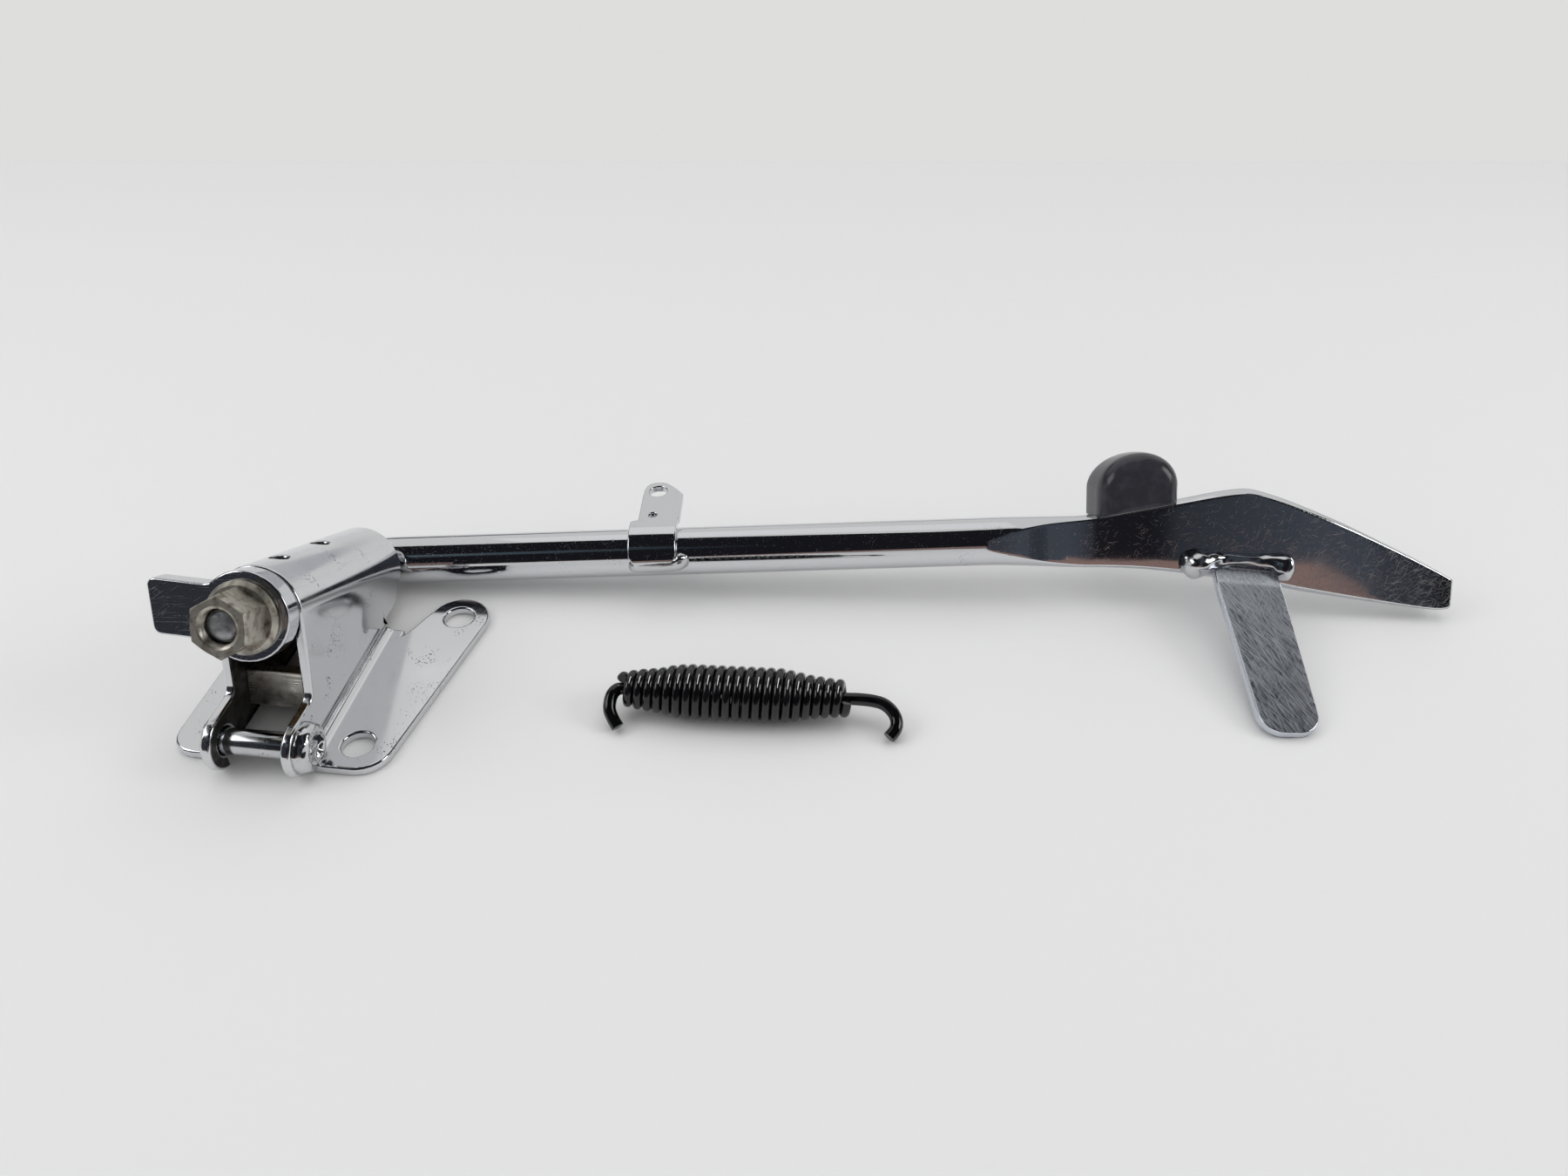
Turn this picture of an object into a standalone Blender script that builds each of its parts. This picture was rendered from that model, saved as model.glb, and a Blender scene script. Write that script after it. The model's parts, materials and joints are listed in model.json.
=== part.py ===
"""Kickstand: a folded sheet bracket, a swinging leg with a blade foot, and its loose return spring."""

import math

import bmesh
import bpy
from mathutils import Vector

# Frames (mm and degrees): x to the right, y to the rear, z up
MM = 0.001
GAP = 0.3
BRACKET_AT = (-17.5, -37.6, 0.0)
BRACKET_TURN = -6.714
PIVOT_AT = (-16.5, 14.3, 45.7)
PIVOT_FALL = 26.6
LEG_CORNER = 82.0
LEG_LIFT = 5.28
LEG_TOE = 3.65

# Folded sheet bracket: u to the right, w to the rear
SHEET = 3.0
MID_U = PIVOT_AT[0]
WRAP_R = 13.2
WRAP_FROM = 6.5
WRAP_TO = 72.5
BEND_R = 3.3
EAR_AT = (1.8, 8.7)
EAR_R = 8.6
EAR_CUT = 0.2
BOLT_HOLE_R = 4.8
RIGHT_BOLTS = ((7.7, 10.0), (18.3, 68.8))
LEFT_BOLT = (-40.0, 48.0)
GREASE_AT = (19.5, 43.5)
GREASE_R = 2.5

# Pivot pieces
SHAFT_R = 8.0
STUD_R = 4.75
BUSH_LONG = 25.0
PLATE_THICK = 6.0
PLATE_R = 13.0
TAB_REACH = 28.3
PLATE_TURN = -2.4
TAB_HALF = 8.0
NUT_ACROSS = 15.8
NUT_TALL = 12.5
NUT_FLANGE_R = 10.6
NUT_FLANGE_TALL = 2.2
STUD_BELOW_NUT = 3.5
PIN_R = 3.9

# Leg: stations of the flattened foot as (along, top edge, bottom edge, half thickness)
ELBOW_R = 9.0
FLAT_FROM = 206.0
FOOT = (
    (206.0, 8.0, -8.0, 7.95),
    (213.0, 8.0, -8.1, 7.2),
    (220.0, 7.9, -8.5, 6.3),
    (228.0, 7.8, -9.0, 5.1),
    (238.0, 7.7, -9.6, 4.0),
    (246.0, 8.5, -9.9, 3.7),
    (256.0, 10.0, -10.6, 3.6),
    (268.0, 11.8, -12.1, 3.6),
    (281.0, 14.0, -14.3, 3.6),
    (289.0, 14.9, -15.6, 3.6),
    (294.0, 14.6, -16.4, 3.6),
    (301.0, 12.4, -17.6, 3.6),
    (309.0, 9.2, -19.6, 3.6),
    (324.0, 2.3, -22.5, 3.5),
    (340.0, -6.0, -25.4, 3.4),
    (350.0, -11.5, -27.0, 3.3),
    (355.0, -14.4, -27.5, 3.2),
    (358.2, -16.4, -27.1, 3.0),
    (359.4, -17.4, -26.0, 2.4),
)

# Pieces on the leg
STRAP_THICK = 2.5
STRAP_TILT = 26.2
BAND_X = (88.7, 104.6)
BAND_END = 84.0
TAB_X = (91.3, 105.3)
TAB_BACK = 26.5
TAB_HOLE = (96.4, 20.8, 3.1)
TAB_DIMPLE = (96.0, 6.5, 1.4)
BUMPER_MID = 256.0
BUMPER_BASE = (8.75, 12.25)
BUMPER_SHOULDER = 16.5
BUMPER_SLICES = (
    (-8.5, 12.6, 25.8, 0.6),
    (-8.0, 13.8, 27.0, 0.2),
    (-7.0, 14.3, 27.4, 0.0),
    (0.0, 13.2, 28.0, 0.0),
    (4.6, 12.5, 28.1, 0.0),
    (6.4, 11.9, 27.7, 0.2),
    (7.5, 10.9, 26.9, 0.6),
    (8.0, 9.6, 25.8, 1.4),
)
KICK_AT = (291.4, -15.2)
KICK_TURN = 7.2
KICK_HALF = 9.0
KICK_LEAN = 4.5
KICK_THICK = 3.0
KICK_BEND = 40.8
KICK_BEND_R = 7.0
KICK_STRAIGHT = 53.5

# Return spring lying on the table
SPRING_FROM = (67.4, -11.0, 8.45)
SPRING_TO = (134.76, -15.35, 8.45)
SPRING_WIRE_R = 1.27
SPRING_TURNS = 22.8
SPRING_START = 100.0
SPRING_RADII = ((0.0, 5.2), (1.0, 5.8), (2.0, 6.3), (4.0, 7.0), (5.5, 8.1), (7.0, 8.4), (16.0, 8.4))
SPRING_RADII += ((17.5, 7.7), (19.0, 6.8), (21.0, 6.1), (22.8, 5.7))
SPRING_POINTS = 10
HOOK_WIRE_R = 1.9
HOOK_LEFT = ((65.6, -11.5, 8.4), (64.5, -12.9, 8.0), (63.9, -14.9, 6.9), (63.9, -17.0, 5.4))
HOOK_LEFT += ((65.0, -19.0, 3.6), (66.5, -20.9, 2.1))
HOOK_RIGHT = ((138.0, -15.5, 8.4), (142.0, -15.7, 8.0), (145.6, -16.3, 7.2), (148.2, -18.2, 6.0))
HOOK_RIGHT += ((149.4, -20.6, 4.6), (149.0, -23.0, 3.3), (147.0, -25.2, 2.1))


def clear_scene():
    """Remove every object that a new file starts with."""
    for obj in list(bpy.data.objects):
        bpy.data.objects.remove(obj, do_unlink=True)


def finish(name, colour, metallic, roughness):
    """One material with a Principled shader."""
    made = bpy.data.materials.new(name)
    made.use_nodes = True
    shader = made.node_tree.nodes["Principled BSDF"]
    shader.inputs["Base Color"].default_value = (*colour, 1.0)
    shader.inputs["Metallic"].default_value = metallic
    shader.inputs["Roughness"].default_value = roughness
    return made


def empty(name, parent, at, turn):
    """A frame to hang pieces on, from mm and degrees."""
    made = bpy.data.objects.new(name, None)
    bpy.context.scene.collection.objects.link(made)
    made.empty_display_size = 0.02
    made.parent = parent
    made.location = Vector(at) * MM
    made.rotation_euler = [math.radians(a) for a in turn]
    return made


def solid(name, shape, parent, look):
    """One closed mesh object from (points in mm, faces)."""
    points, faces = shape
    mesh = bpy.data.meshes.new(name)
    mesh.from_pydata([Vector(p) * MM for p in points], [], faces)
    work = bmesh.new()
    work.from_mesh(mesh)
    bmesh.ops.recalc_face_normals(work, faces=work.faces)
    work.to_mesh(mesh)
    work.free()
    made = bpy.data.objects.new(name, mesh)
    bpy.context.scene.collection.objects.link(made)
    made.parent = parent
    mesh.materials.append(look)
    return made


def combine(target, helper, operation):
    """Add one Boolean step to the target and hide its helper."""
    step = target.modifiers.new(helper.name, "BOOLEAN")
    step.operation = operation
    step.solver = "EXACT"
    step.object = helper
    helper.hide_render = True
    helper.display_type = "WIRE"


def arc(centre, radius, start, end, steps):
    """Points of an arc, both ends included, from degrees."""
    turns = [math.radians(start + (end - start) * k / steps) for k in range(steps + 1)]
    return [(centre[0] + radius * math.cos(t), centre[1] + radius * math.sin(t)) for t in turns]


def prism(outline, low, high, place):
    """A flat outline pushed from low to high; place puts (a, b, depth) in the frame."""
    count = len(outline)
    points = [place(a, b, low) for a, b in outline]
    points += [place(a, b, high) for a, b in outline]
    faces = [tuple(range(count - 1, -1, -1)), tuple(range(count, 2 * count))]
    for k in range(count):
        after = (k + 1) % count
        faces.append((k, after, count + after, count + k))
    return points, faces


def flat(a, b, depth):
    """Outline in u and w, depth along z."""
    return (a, b, depth)


def upright(a, b, depth):
    """Outline in w and z, depth along u."""
    return (depth, a, b)


def along(a, b, depth):
    """Outline in u and z, depth along w."""
    return (a, depth, b)


def loft(rings, closed=False):
    """Skin over rings of equal length, capped at both ends or closed into a loop."""
    count = len(rings[0])
    total = len(rings)
    points = [p for ring in rings for p in ring]
    faces = []
    for k in range(total if closed else total - 1):
        here = k * count
        there = (k + 1) % total * count
        for i in range(count):
            j = (i + 1) % count
            faces.append((here + i, here + j, there + j, there + i))
    if not closed:
        faces.append(tuple(range(count - 1, -1, -1)))
        faces.append(tuple(range((total - 1) * count, total * count)))
    return points, faces


def circle(radius, height, count):
    """A ring about the local z axis."""
    turns = [2.0 * math.pi * k / count for k in range(count)]
    return [(radius * math.cos(t), radius * math.sin(t), height) for t in turns]


def rod(radius, low, high, at, place, count=24):
    """A plain cylinder about a point, its length along the depth of place."""
    return prism(arc(at, radius, 0.0, 360.0 - 360.0 / count, count - 1), low, high, place)


def axis_point(distance):
    """(w, z) of the pivot axis this far behind the stop plate's front face."""
    fall = math.radians(PIVOT_FALL)
    return (PIVOT_AT[1] + distance * math.cos(fall), PIVOT_AT[2] - distance * math.sin(fall))


def wall_outline():
    """Side of one wall with its ear, from the wrap's front end and round by the rear."""
    front = axis_point(WRAP_FROM)
    rear = axis_point(WRAP_TO)
    ear_start = math.degrees(math.acos((EAR_CUT - EAR_AT[0]) / EAR_R))
    points = [front, rear, (77.8, 11.4), (73.6, 8.6), (70.8, 5.6), (61.0, 5.6), (EAR_CUT, 5.6)]
    points += arc(EAR_AT, EAR_R, -ear_start, -270.0, 12)
    points += [(9.9, EAR_AT[1] + EAR_R)]
    points += arc((9.9, EAR_AT[1] + EAR_R + 3.4), 3.4, -70.0, -17.0, 3)
    return points


def bend_outline(side):
    """Section of one bottom bend: a short wall, the bend, a short flange."""
    inner = BEND_R + SHEET
    turn = arc((0.0, inner), inner, 180.0, 270.0, 6)
    back = arc((0.0, inner), BEND_R, 270.0, 180.0, 6)
    points = [(-inner, 9.0)] + turn + [(3.0, 0.0), (3.0, SHEET)] + back + [(-BEND_R, 9.0)]
    return [(a, b) if side > 0 else (2.0 * MID_U - a, b) for a, b in points]


def wrap_shape():
    """Upper half of the barrel: a half ring pushed along the pivot axis."""
    fall = math.radians(PIVOT_FALL)
    outline = arc((0.0, 0.0), WRAP_R, 0.0, 180.0, 24)
    outline += arc((0.0, 0.0), WRAP_R - SHEET, 180.0, 0.0, 24)
    rings = []
    for distance in (WRAP_FROM, WRAP_TO):
        w, z = axis_point(distance)
        rings.append([(MID_U + a, w + b * math.sin(fall), z + b * math.cos(fall)) for a, b in outline])
    return loft(rings)


def right_flange():
    """Plan of the right flange with its two bolt lobes."""
    points = [(1.0, EAR_CUT), (8.8, EAR_CUT)]
    points += arc((9.3, 9.6), 9.4, -80.0, -12.0, 5)
    points += [(23.2, 30.0), (25.9, 46.4)]
    points += arc(RIGHT_BOLTS[1], 9.7, -38.0, 150.0, 12)
    points += [(6.9, 67.0), (4.7, 61.0), (3.2, 58.2), (1.0, 57.4)]
    return points


def left_flange():
    """Plan of the left flange."""
    edge = 2.0 * MID_U - 1.0
    points = [(edge, 1.4), (edge, 60.0), (-38.5, 60.0)]
    points += arc((-38.5, 51.2), 8.8, 90.0, 180.0, 5)
    points += arc((-39.3, 9.4), 8.0, 180.0, 270.0, 5)
    return points


def build_bracket(frame, chrome, steel, weld):
    """The folded sheet with its stop block and anchor pin."""
    outer = WRAP_R - 0.02
    inner = WRAP_R - SHEET + 0.02
    outline = wall_outline()
    shell = solid("bracket_shell", wrap_shape(), frame, chrome)
    for side, name in ((1, "right"), (-1, "left")):
        low, high = sorted((MID_U + side * inner, MID_U + side * outer))
        wall = solid(f"wall_{name}", prism(outline, low, high, upright), frame, chrome)
        combine(shell, wall, "UNION")
    ends = {1: (EAR_CUT, 60.6), -1: (1.4, 60.0)}
    plans = {1: right_flange(), -1: left_flange()}
    for side, name in ((1, "right"), (-1, "left")):
        bend = solid(f"bend_{name}", prism(bend_outline(side), *ends[side], along), frame, chrome)
        combine(shell, bend, "UNION")
        plate = solid(f"flange_{name}", prism(plans[side], 0.0, SHEET, flat), frame, chrome)
        combine(shell, plate, "UNION")
    for k, spot in enumerate((*RIGHT_BOLTS, LEFT_BOLT)):
        hole = solid(f"bolt_cut_{k}", rod(BOLT_HOLE_R, -2.0, 5.0, spot, flat), frame, steel)
        combine(shell, hole, "DIFFERENCE")
    pin_cut = rod(PIN_R + GAP, MID_U - 20.0, MID_U + 20.0, EAR_AT, upright)
    combine(shell, solid("pin_cut", pin_cut, frame, steel), "DIFFERENCE")
    fall = math.radians(PIVOT_FALL)
    for k, distance in enumerate(GREASE_AT):
        w, z = axis_point(distance)
        rings = []
        for height in (8.5, 16.0):
            back = w + height * math.sin(fall)
            rise = z + height * math.cos(fall)
            ring = []
            for a, b, _ in circle(GREASE_R, 0.0, 20):
                ring.append((MID_U + a, back + b * math.cos(fall), rise - b * math.sin(fall)))
            rings.append(ring)
        combine(shell, solid(f"grease_cut_{k}", loft(rings), frame, steel), "DIFFERENCE")
    tidy = shell.modifiers.new("weld_points", "WELD")
    tidy.merge_threshold = 0.00005

    w, z = 18.6, 14.2
    lean = math.radians(18.0)
    bar = []
    for a, b in ((0.0, -5.6), (5.0, -5.6), (5.0, 5.6), (0.0, 5.6)):
        back = w + a * math.cos(lean) + b * math.sin(lean)
        bar.append((back, z - a * math.sin(lean) + b * math.cos(lean)))
    reach = WRAP_R - SHEET - GAP
    solid("stop_block", prism(bar, MID_U - reach, MID_U + reach, upright), frame, steel)

    half = WRAP_R + 1.3
    pin = [circle(PIN_R - 0.5, -half, 24), circle(PIN_R, -half + 0.5, 24)]
    pin += [circle(PIN_R, half - 0.5, 24), circle(PIN_R - 0.5, half, 24)]
    pin = [[(MID_U + c, EAR_AT[0] + a, EAR_AT[1] + b) for a, b, c in ring] for ring in pin]
    solid("anchor_pin", loft(pin), frame, steel)
    room = [(-9.0, BEND_R + SHEET)] + arc((0.0, BEND_R + SHEET), BEND_R - GAP, 180.0, 270.0, 6)
    room += [(0.0, -3.0), (-9.0, -3.0)]
    for side, name in ((1, "right"), (-1, "left")):
        rings = []
        for extra, height in ((GAP, 0.0), (3.4, 0.0), (3.2, 1.3), (2.2, 2.3), (1.1, 2.5), (GAP, 1.7)):
            ring = circle(PIN_R + extra, WRAP_R + GAP + height, 24)
            rings.append([(MID_U + side * c, EAR_AT[0] + a, EAR_AT[1] + b) for a, b, c in ring])
        ring = solid(f"anchor_pin_weld_{name}", loft(rings, closed=True), frame, weld)
        below = [(a, b) if side > 0 else (2.0 * MID_U - a, b) for a, b in room]
        cut = prism(below, ends[side][0] - GAP, 20.0, along)
        combine(ring, solid(f"pin_weld_cut_{name}", cut, frame, weld), "DIFFERENCE")
    return shell


def build_bushes(pivot, bronze):
    """The two plain bushes in the barrel."""
    outside = WRAP_R - SHEET - 0.36
    inside = SHAFT_R + 0.35
    starts = {"front_bush": WRAP_FROM + 0.5, "rear_bush": WRAP_TO - 0.5 - BUSH_LONG}
    for name, start in starts.items():
        end = start + BUSH_LONG
        profile = ((inside, -start), (outside, -start), (outside, -end), (inside, -end))
        solid(name, loft([circle(r, h, 40) for r, h in profile], closed=True), pivot, bronze)


def leg_section(centre, depth_way, width_way, top, bottom, half):
    """One ring of the leg: an ellipse whose two faces are pressed flat."""
    middle = 0.5 * (top + bottom)
    reach = 0.5 * (top - bottom)
    cut = max(math.acos(min(1.0, half / SHAFT_R)), 0.1)
    edge = math.pi - 2.0 * cut
    turns = [-cut + 2.0 * cut * k / 4 for k in range(5)]
    turns += [cut + edge * k / 14 for k in range(1, 14)]
    turns += [math.pi - cut + 2.0 * cut * k / 4 for k in range(5)]
    turns += [math.pi + cut + edge * k / 14 for k in range(1, 14)]
    ring = []
    for t in turns:
        depth = max(-half, min(half, SHAFT_R * math.cos(t)))
        ring.append(centre + depth_way * depth + width_way * (middle + reach * math.sin(t)))
    return ring


def leg_ways():
    """Directions of the leg in the pivot frame: along, width and front."""
    lift = math.radians(LEG_LIFT)
    toe = math.radians(LEG_TOE)
    ahead = Vector((math.cos(toe) * math.cos(lift), math.cos(toe) * math.sin(lift), -math.sin(toe)))
    width = Vector((-math.sin(lift), math.cos(lift), 0.0))
    return ahead, width, ahead.cross(width)


def leg_shape():
    """Stud, shaft, elbow, rod and flattened foot as one skin."""
    ahead, width, front = leg_ways()
    down = Vector((0.0, 0.0, -1.0))
    side = down.cross(width)
    stud_end = GAP + NUT_TALL - STUD_BELOW_NUT
    rings = []
    for radius, height in ((STUD_R - 0.7, stud_end), (STUD_R, stud_end - 0.7), (STUD_R, -PLATE_THICK - GAP)):
        scale = radius / SHAFT_R
        ring = leg_section(Vector((0.0, 0.0, 0.0)), side, width, SHAFT_R, -SHAFT_R, SHAFT_R)
        rings.append([p * scale + Vector((0.0, 0.0, height)) for p in ring])
    bend = math.acos(down.dot(ahead))
    lead = ELBOW_R * math.tan(0.5 * bend)
    corner = down * LEG_CORNER
    for height in (PLATE_THICK + GAP, 0.5 * LEG_CORNER, LEG_CORNER - lead):
        rings.append(leg_section(down * height, side, width, SHAFT_R, -SHAFT_R, SHAFT_R))
    start = corner - down * lead
    hub = start + side * ELBOW_R
    steps = 9
    for k in range(1, steps + 1):
        turn = bend * k / steps
        outward = -side * math.cos(turn) + down * math.sin(turn)
        rings.append(leg_section(hub + outward * ELBOW_R, -outward, width, SHAFT_R, -SHAFT_R, SHAFT_R))
    for x in (60.0, 130.0, FLAT_FROM - 8.0):
        rings.append(leg_section(corner + ahead * x, front, width, SHAFT_R, -SHAFT_R, SHAFT_R))
    for x, top, bottom, half in FOOT:
        rings.append(leg_section(corner + ahead * x, front, width, top, bottom, half))
    return loft(rings)


def build_pivot_pieces(pivot, chrome, zinc):
    """Stop plate and flange nut on the stud."""
    blend = 4.0
    reach = math.sqrt((PLATE_R + blend) ** 2 - (TAB_HALF + blend) ** 2)
    join = math.degrees(math.atan2(TAB_HALF + blend, -reach))
    outline = arc((0.0, 0.0), PLATE_R, -join, join, 26)
    outline += arc((-reach, TAB_HALF + blend), blend, join - 180.0, -90.0, 4)[1:]
    outline += arc((-TAB_REACH + 2.5, TAB_HALF - 2.5), 2.5, 90.0, 168.0, 4)
    outline += arc((-TAB_REACH + 4.2, -TAB_HALF + 2.5), 2.5, 186.0, 270.0, 4)
    outline += arc((-reach, -TAB_HALF - blend), blend, 90.0, 180.0 - join, 4)[:-1]
    turn = math.radians(PLATE_TURN)
    cos, sin = math.cos(turn), math.sin(turn)
    outline = [(a * cos - b * sin, a * sin + b * cos) for a, b in outline]
    bore = rod(STUD_R + GAP, -10.0, 5.0, (0.0, 0.0), flat)
    plate = solid("stop_plate", prism(outline, -PLATE_THICK, 0.0, flat), pivot, chrome)
    combine(plate, solid("plate_bore", bore, pivot, zinc), "DIFFERENCE")

    rings = []
    half = 0.5 * NUT_ACROSS
    for hexed, size, height in (
        (0.0, NUT_FLANGE_R, 0.0),
        (0.0, NUT_FLANGE_R, 1.2),
        (0.0, half / math.cos(math.pi / 6.0) + 0.4, NUT_FLANGE_TALL),
        (1.0, half, NUT_FLANGE_TALL),
        (1.0, half, NUT_TALL - 0.9),
        (0.6, half - 0.25, NUT_TALL),
        (0.0, STUD_R + GAP + 0.8, NUT_TALL),
        (0.0, STUD_R + GAP, NUT_TALL - 0.8),
        (0.0, STUD_R + GAP, 0.0),
    ):
        ring = []
        for k in range(36):
            turn = 2.0 * math.pi * k / 36
            off = (turn + math.pi / 6.0) % (math.pi / 3.0) - math.pi / 6.0
            radius = size * (1.0 + hexed * (1.0 / math.cos(off) - 1.0))
            ring.append((radius * math.cos(turn), radius * math.sin(turn), GAP + height))
        rings.append(ring)
    solid("flange_nut", loft(rings, closed=True), pivot, zinc)


def build_spring_tab(leg, chrome, weld):
    """The strap round the rod with its flat tab to the rear, and the bead beside it."""
    tilt = math.radians(STRAP_TILT)
    up = Vector((0.0, math.cos(tilt), math.sin(tilt)))
    front = Vector((0.0, -math.sin(tilt), math.cos(tilt)))
    middle = SHAFT_R + GAP + 0.5 * STRAP_THICK
    rows = []
    for k in range(9):
        share = k / 8
        drawn = 2.2 * max(0.0, 1.0 - 4.0 * share)
        turn = math.radians(BAND_END * (1.0 - share))
        out = up * math.cos(turn) + front * math.sin(turn)
        rows.append((out * middle, out, BAND_X[0] + drawn, BAND_X[1] - drawn))
    for back, left, right in (
        (2.6, *BAND_X),
        (3.4, BAND_X[0] + 0.6, BAND_X[1]),
        (3.9, TAB_X[0], TAB_X[1] - 0.4),
        (5.5, *TAB_X),
        (TAB_BACK - 7.8, *TAB_X),
        (TAB_BACK - 4.5, TAB_X[0] + 0.2, TAB_X[1] - 2.4),
        (TAB_BACK - 2.2, TAB_X[0] + 0.8, TAB_X[1] - 4.4),
        (TAB_BACK - 0.7, TAB_X[0] + 1.9, TAB_X[1] - 6.0),
        (TAB_BACK, TAB_X[0] + 3.4, TAB_X[1] - 7.6),
    ):
        rows.append((up * middle - front * back, up, left, right))
    rings = []
    for at, out, left, right in rows:
        half = out * (0.5 * STRAP_THICK)
        corners = ((left, -1.0), (right, -1.0), (right, 1.0), (left, 1.0))
        rings.append([at + half * s + Vector((x, 0.0, 0.0)) for x, s in corners])
    strap = solid("spring_tab", loft(rings), leg, chrome)
    for name, spot in (("tab_hole_cut", TAB_HOLE), ("tab_dimple_cut", TAB_DIMPLE)):
        x, back, radius = spot
        cut = []
        for height in (SHAFT_R + 0.1, SHAFT_R + 6.0):
            ring = circle(radius, 0.0, 20)
            cut.append([Vector((x + a, 0.0, 0.0)) + up * height - front * (back + b) for a, b, _ in ring])
        combine(strap, solid(name, loft(cut), leg, chrome), "DIFFERENCE")

    left, right = BAND_X[0] + 1.2, BAND_X[1] + 1.7
    line = ((left, 96.0, 0.6), (left + 1.2, 97.0, 1.2), (left + 5.0, 96.5, 1.3), (right - 4.0, 97.0, 1.4))
    line += ((right - 0.6, 95.0, 1.5), (right + 0.3, 87.0, 1.5), (right + 0.1, 76.0, 1.3))
    line += ((right - 0.1, 66.0, 0.6),)
    bead = []
    for k, (x, degrees, size) in enumerate(line):
        turn = math.radians(degrees)
        out = up * math.cos(turn) + front * math.sin(turn)
        down = front * math.cos(turn) - up * math.sin(turn)
        before, after = line[max(k - 1, 0)], line[min(k + 1, len(line) - 1)]
        run = Vector((after[0] - before[0], math.radians(after[1] - before[1]) * SHAFT_R)).normalized()
        aside = Vector((run.y, 0.0, 0.0)) - down * run.x
        middle = out * (SHAFT_R + GAP + size) + Vector((x, 0.0, 0.0))
        bead.append([middle + out * a + aside * b for a, b, _ in circle(size, 0.0, 10)])
    solid("spring_tab_weld", loft(bead), leg, weld)


def dome_outline(half, top, inset):
    """Front view of one slice of the bumper, its base drawn up by the inset."""
    slope = (BUMPER_BASE[1] - BUMPER_BASE[0]) / 24.8
    points = []
    for x in (-half, half):
        points.append((BUMPER_MID + x, BUMPER_BASE[0] + slope * (x + 12.4) + inset))
    for k in range(17):
        turn = math.pi * k / 16
        rise = (top - BUMPER_SHOULDER) * math.sin(turn)
        points.append((BUMPER_MID + half * math.cos(turn), BUMPER_SHOULDER + rise))
    return points


def build_bumper(leg, rod_piece, rubber, steel):
    """The rubber bumper on the foot's top edge and the stud that holds it."""
    rings = []
    for depth, half, top, inset in BUMPER_SLICES:
        rings.append([(a, b, depth) for a, b in dome_outline(half, top, inset)])
    bumper = solid("bumper", loft(rings), leg, rubber)
    stud = [circle(1.5, 2.2, 16), circle(2.0, 2.7, 16), circle(2.0, 19.5, 16), circle(1.5, 20.0, 16)]
    stud = [[(BUMPER_MID + a, c, b) for a, b, c in ring] for ring in stud]
    solid("bumper_stud", loft(stud), leg, steel)
    hole = [circle(2.35, 1.9, 16), circle(2.35, 20.4, 16)]
    hole = [[(BUMPER_MID + a, c, b) for a, b, c in ring] for ring in hole]
    cut = solid("bumper_stud_cut", loft(hole), leg, steel)
    combine(bumper, cut, "DIFFERENCE")
    combine(rod_piece, cut, "DIFFERENCE")


def build_kick_tab(leg, satin, weld):
    """The bent foot tab on the foot's lower edge and the bead along its root."""
    turn = math.radians(KICK_TURN)
    across = Vector((math.cos(turn), -math.sin(turn), 0.0))
    upward = Vector((math.sin(turn), math.cos(turn), 0.0))
    front = Vector((0.0, 0.0, 1.0))
    face = 3.6 + GAP
    root = Vector((KICK_AT[0], KICK_AT[1], face))
    rows = [(root, 0.0, KICK_HALF), (root + front * 3.0, 0.0, KICK_HALF)]
    hub = root + front * 3.0 - upward * KICK_BEND_R
    for k in range(1, 7):
        bend = math.radians(KICK_BEND * k / 6)
        out = upward * math.cos(bend) + front * math.sin(bend)
        rows.append((hub + out * KICK_BEND_R, bend, KICK_HALF))
    bend = math.radians(KICK_BEND)
    heading = front * math.cos(bend) - upward * math.sin(bend)
    lean = math.radians(KICK_LEAN)
    ahead = heading * math.cos(lean) + across * math.sin(lean)
    last = rows[-1][0]
    corner = 5.5
    for left in (KICK_STRAIGHT - 4.0, corner, 3.2, 1.6, 0.5, 0.0):
        drawn = corner - math.sqrt(corner**2 - (corner - min(left, corner)) ** 2)
        rows.append((last + ahead * (KICK_STRAIGHT - left), bend, KICK_HALF - drawn))
    rings = []
    for k, (at, angle, half) in enumerate(rows):
        out = upward * math.cos(angle) + front * math.sin(angle)
        wide = across if k < 8 else across * math.cos(lean) - heading * math.sin(lean)
        corners = ((-half, -1.0), (half, -1.0), (half, 1.0), (-half, 1.0))
        rings.append([at + wide * a + out * (0.5 * KICK_THICK * s) for a, s in corners])
    solid("kick_tab", loft(rings), leg, satin)

    sizes = ((-20.6, 1.0, 3.0), (-19.8, 2.6, 3.0), (-17.5, 3.8, 3.0), (-14.0, 4.0, 3.2), (-11.0, 3.6, 3.6))
    sizes += ((-9.6, 2.9, 4.7), (-6.0, 2.4, 4.2), (0.0, 2.2, 4.0), (6.0, 2.3, 4.1), (9.5, 2.7, 4.5))
    sizes += ((11.5, 3.3, 4.3), (13.6, 3.0, 4.2), (15.0, 1.8, 4.2), (15.6, 0.8, 4.2))
    bead = []
    for a, size, above in sizes:
        middle = root + across * a + front * size + upward * above
        ring = circle(size, 0.0, 12)
        bead.append([middle + front * p + upward * q for p, q, _ in ring])
    solid("kick_tab_weld", loft(bead), leg, weld)


def tube(name, points, radii, parent, look):
    """One unbroken round wire through points given in mm."""
    curve = bpy.data.curves.new(name, "CURVE")
    curve.dimensions = "3D"
    curve.bevel_depth = max(radii) * MM
    curve.bevel_resolution = 1
    curve.use_fill_caps = True
    curve.twist_mode = "MINIMUM"
    line = curve.splines.new("POLY")
    line.points.add(len(points) - 1)
    for spot, point, radius in zip(line.points, points, radii):
        spot.co = (*(Vector(point) * MM), 1.0)
        spot.radius = radius / max(radii)
    made = bpy.data.objects.new(name, curve)
    bpy.context.scene.collection.objects.link(made)
    made.parent = parent
    curve.materials.append(look)
    return made


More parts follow.
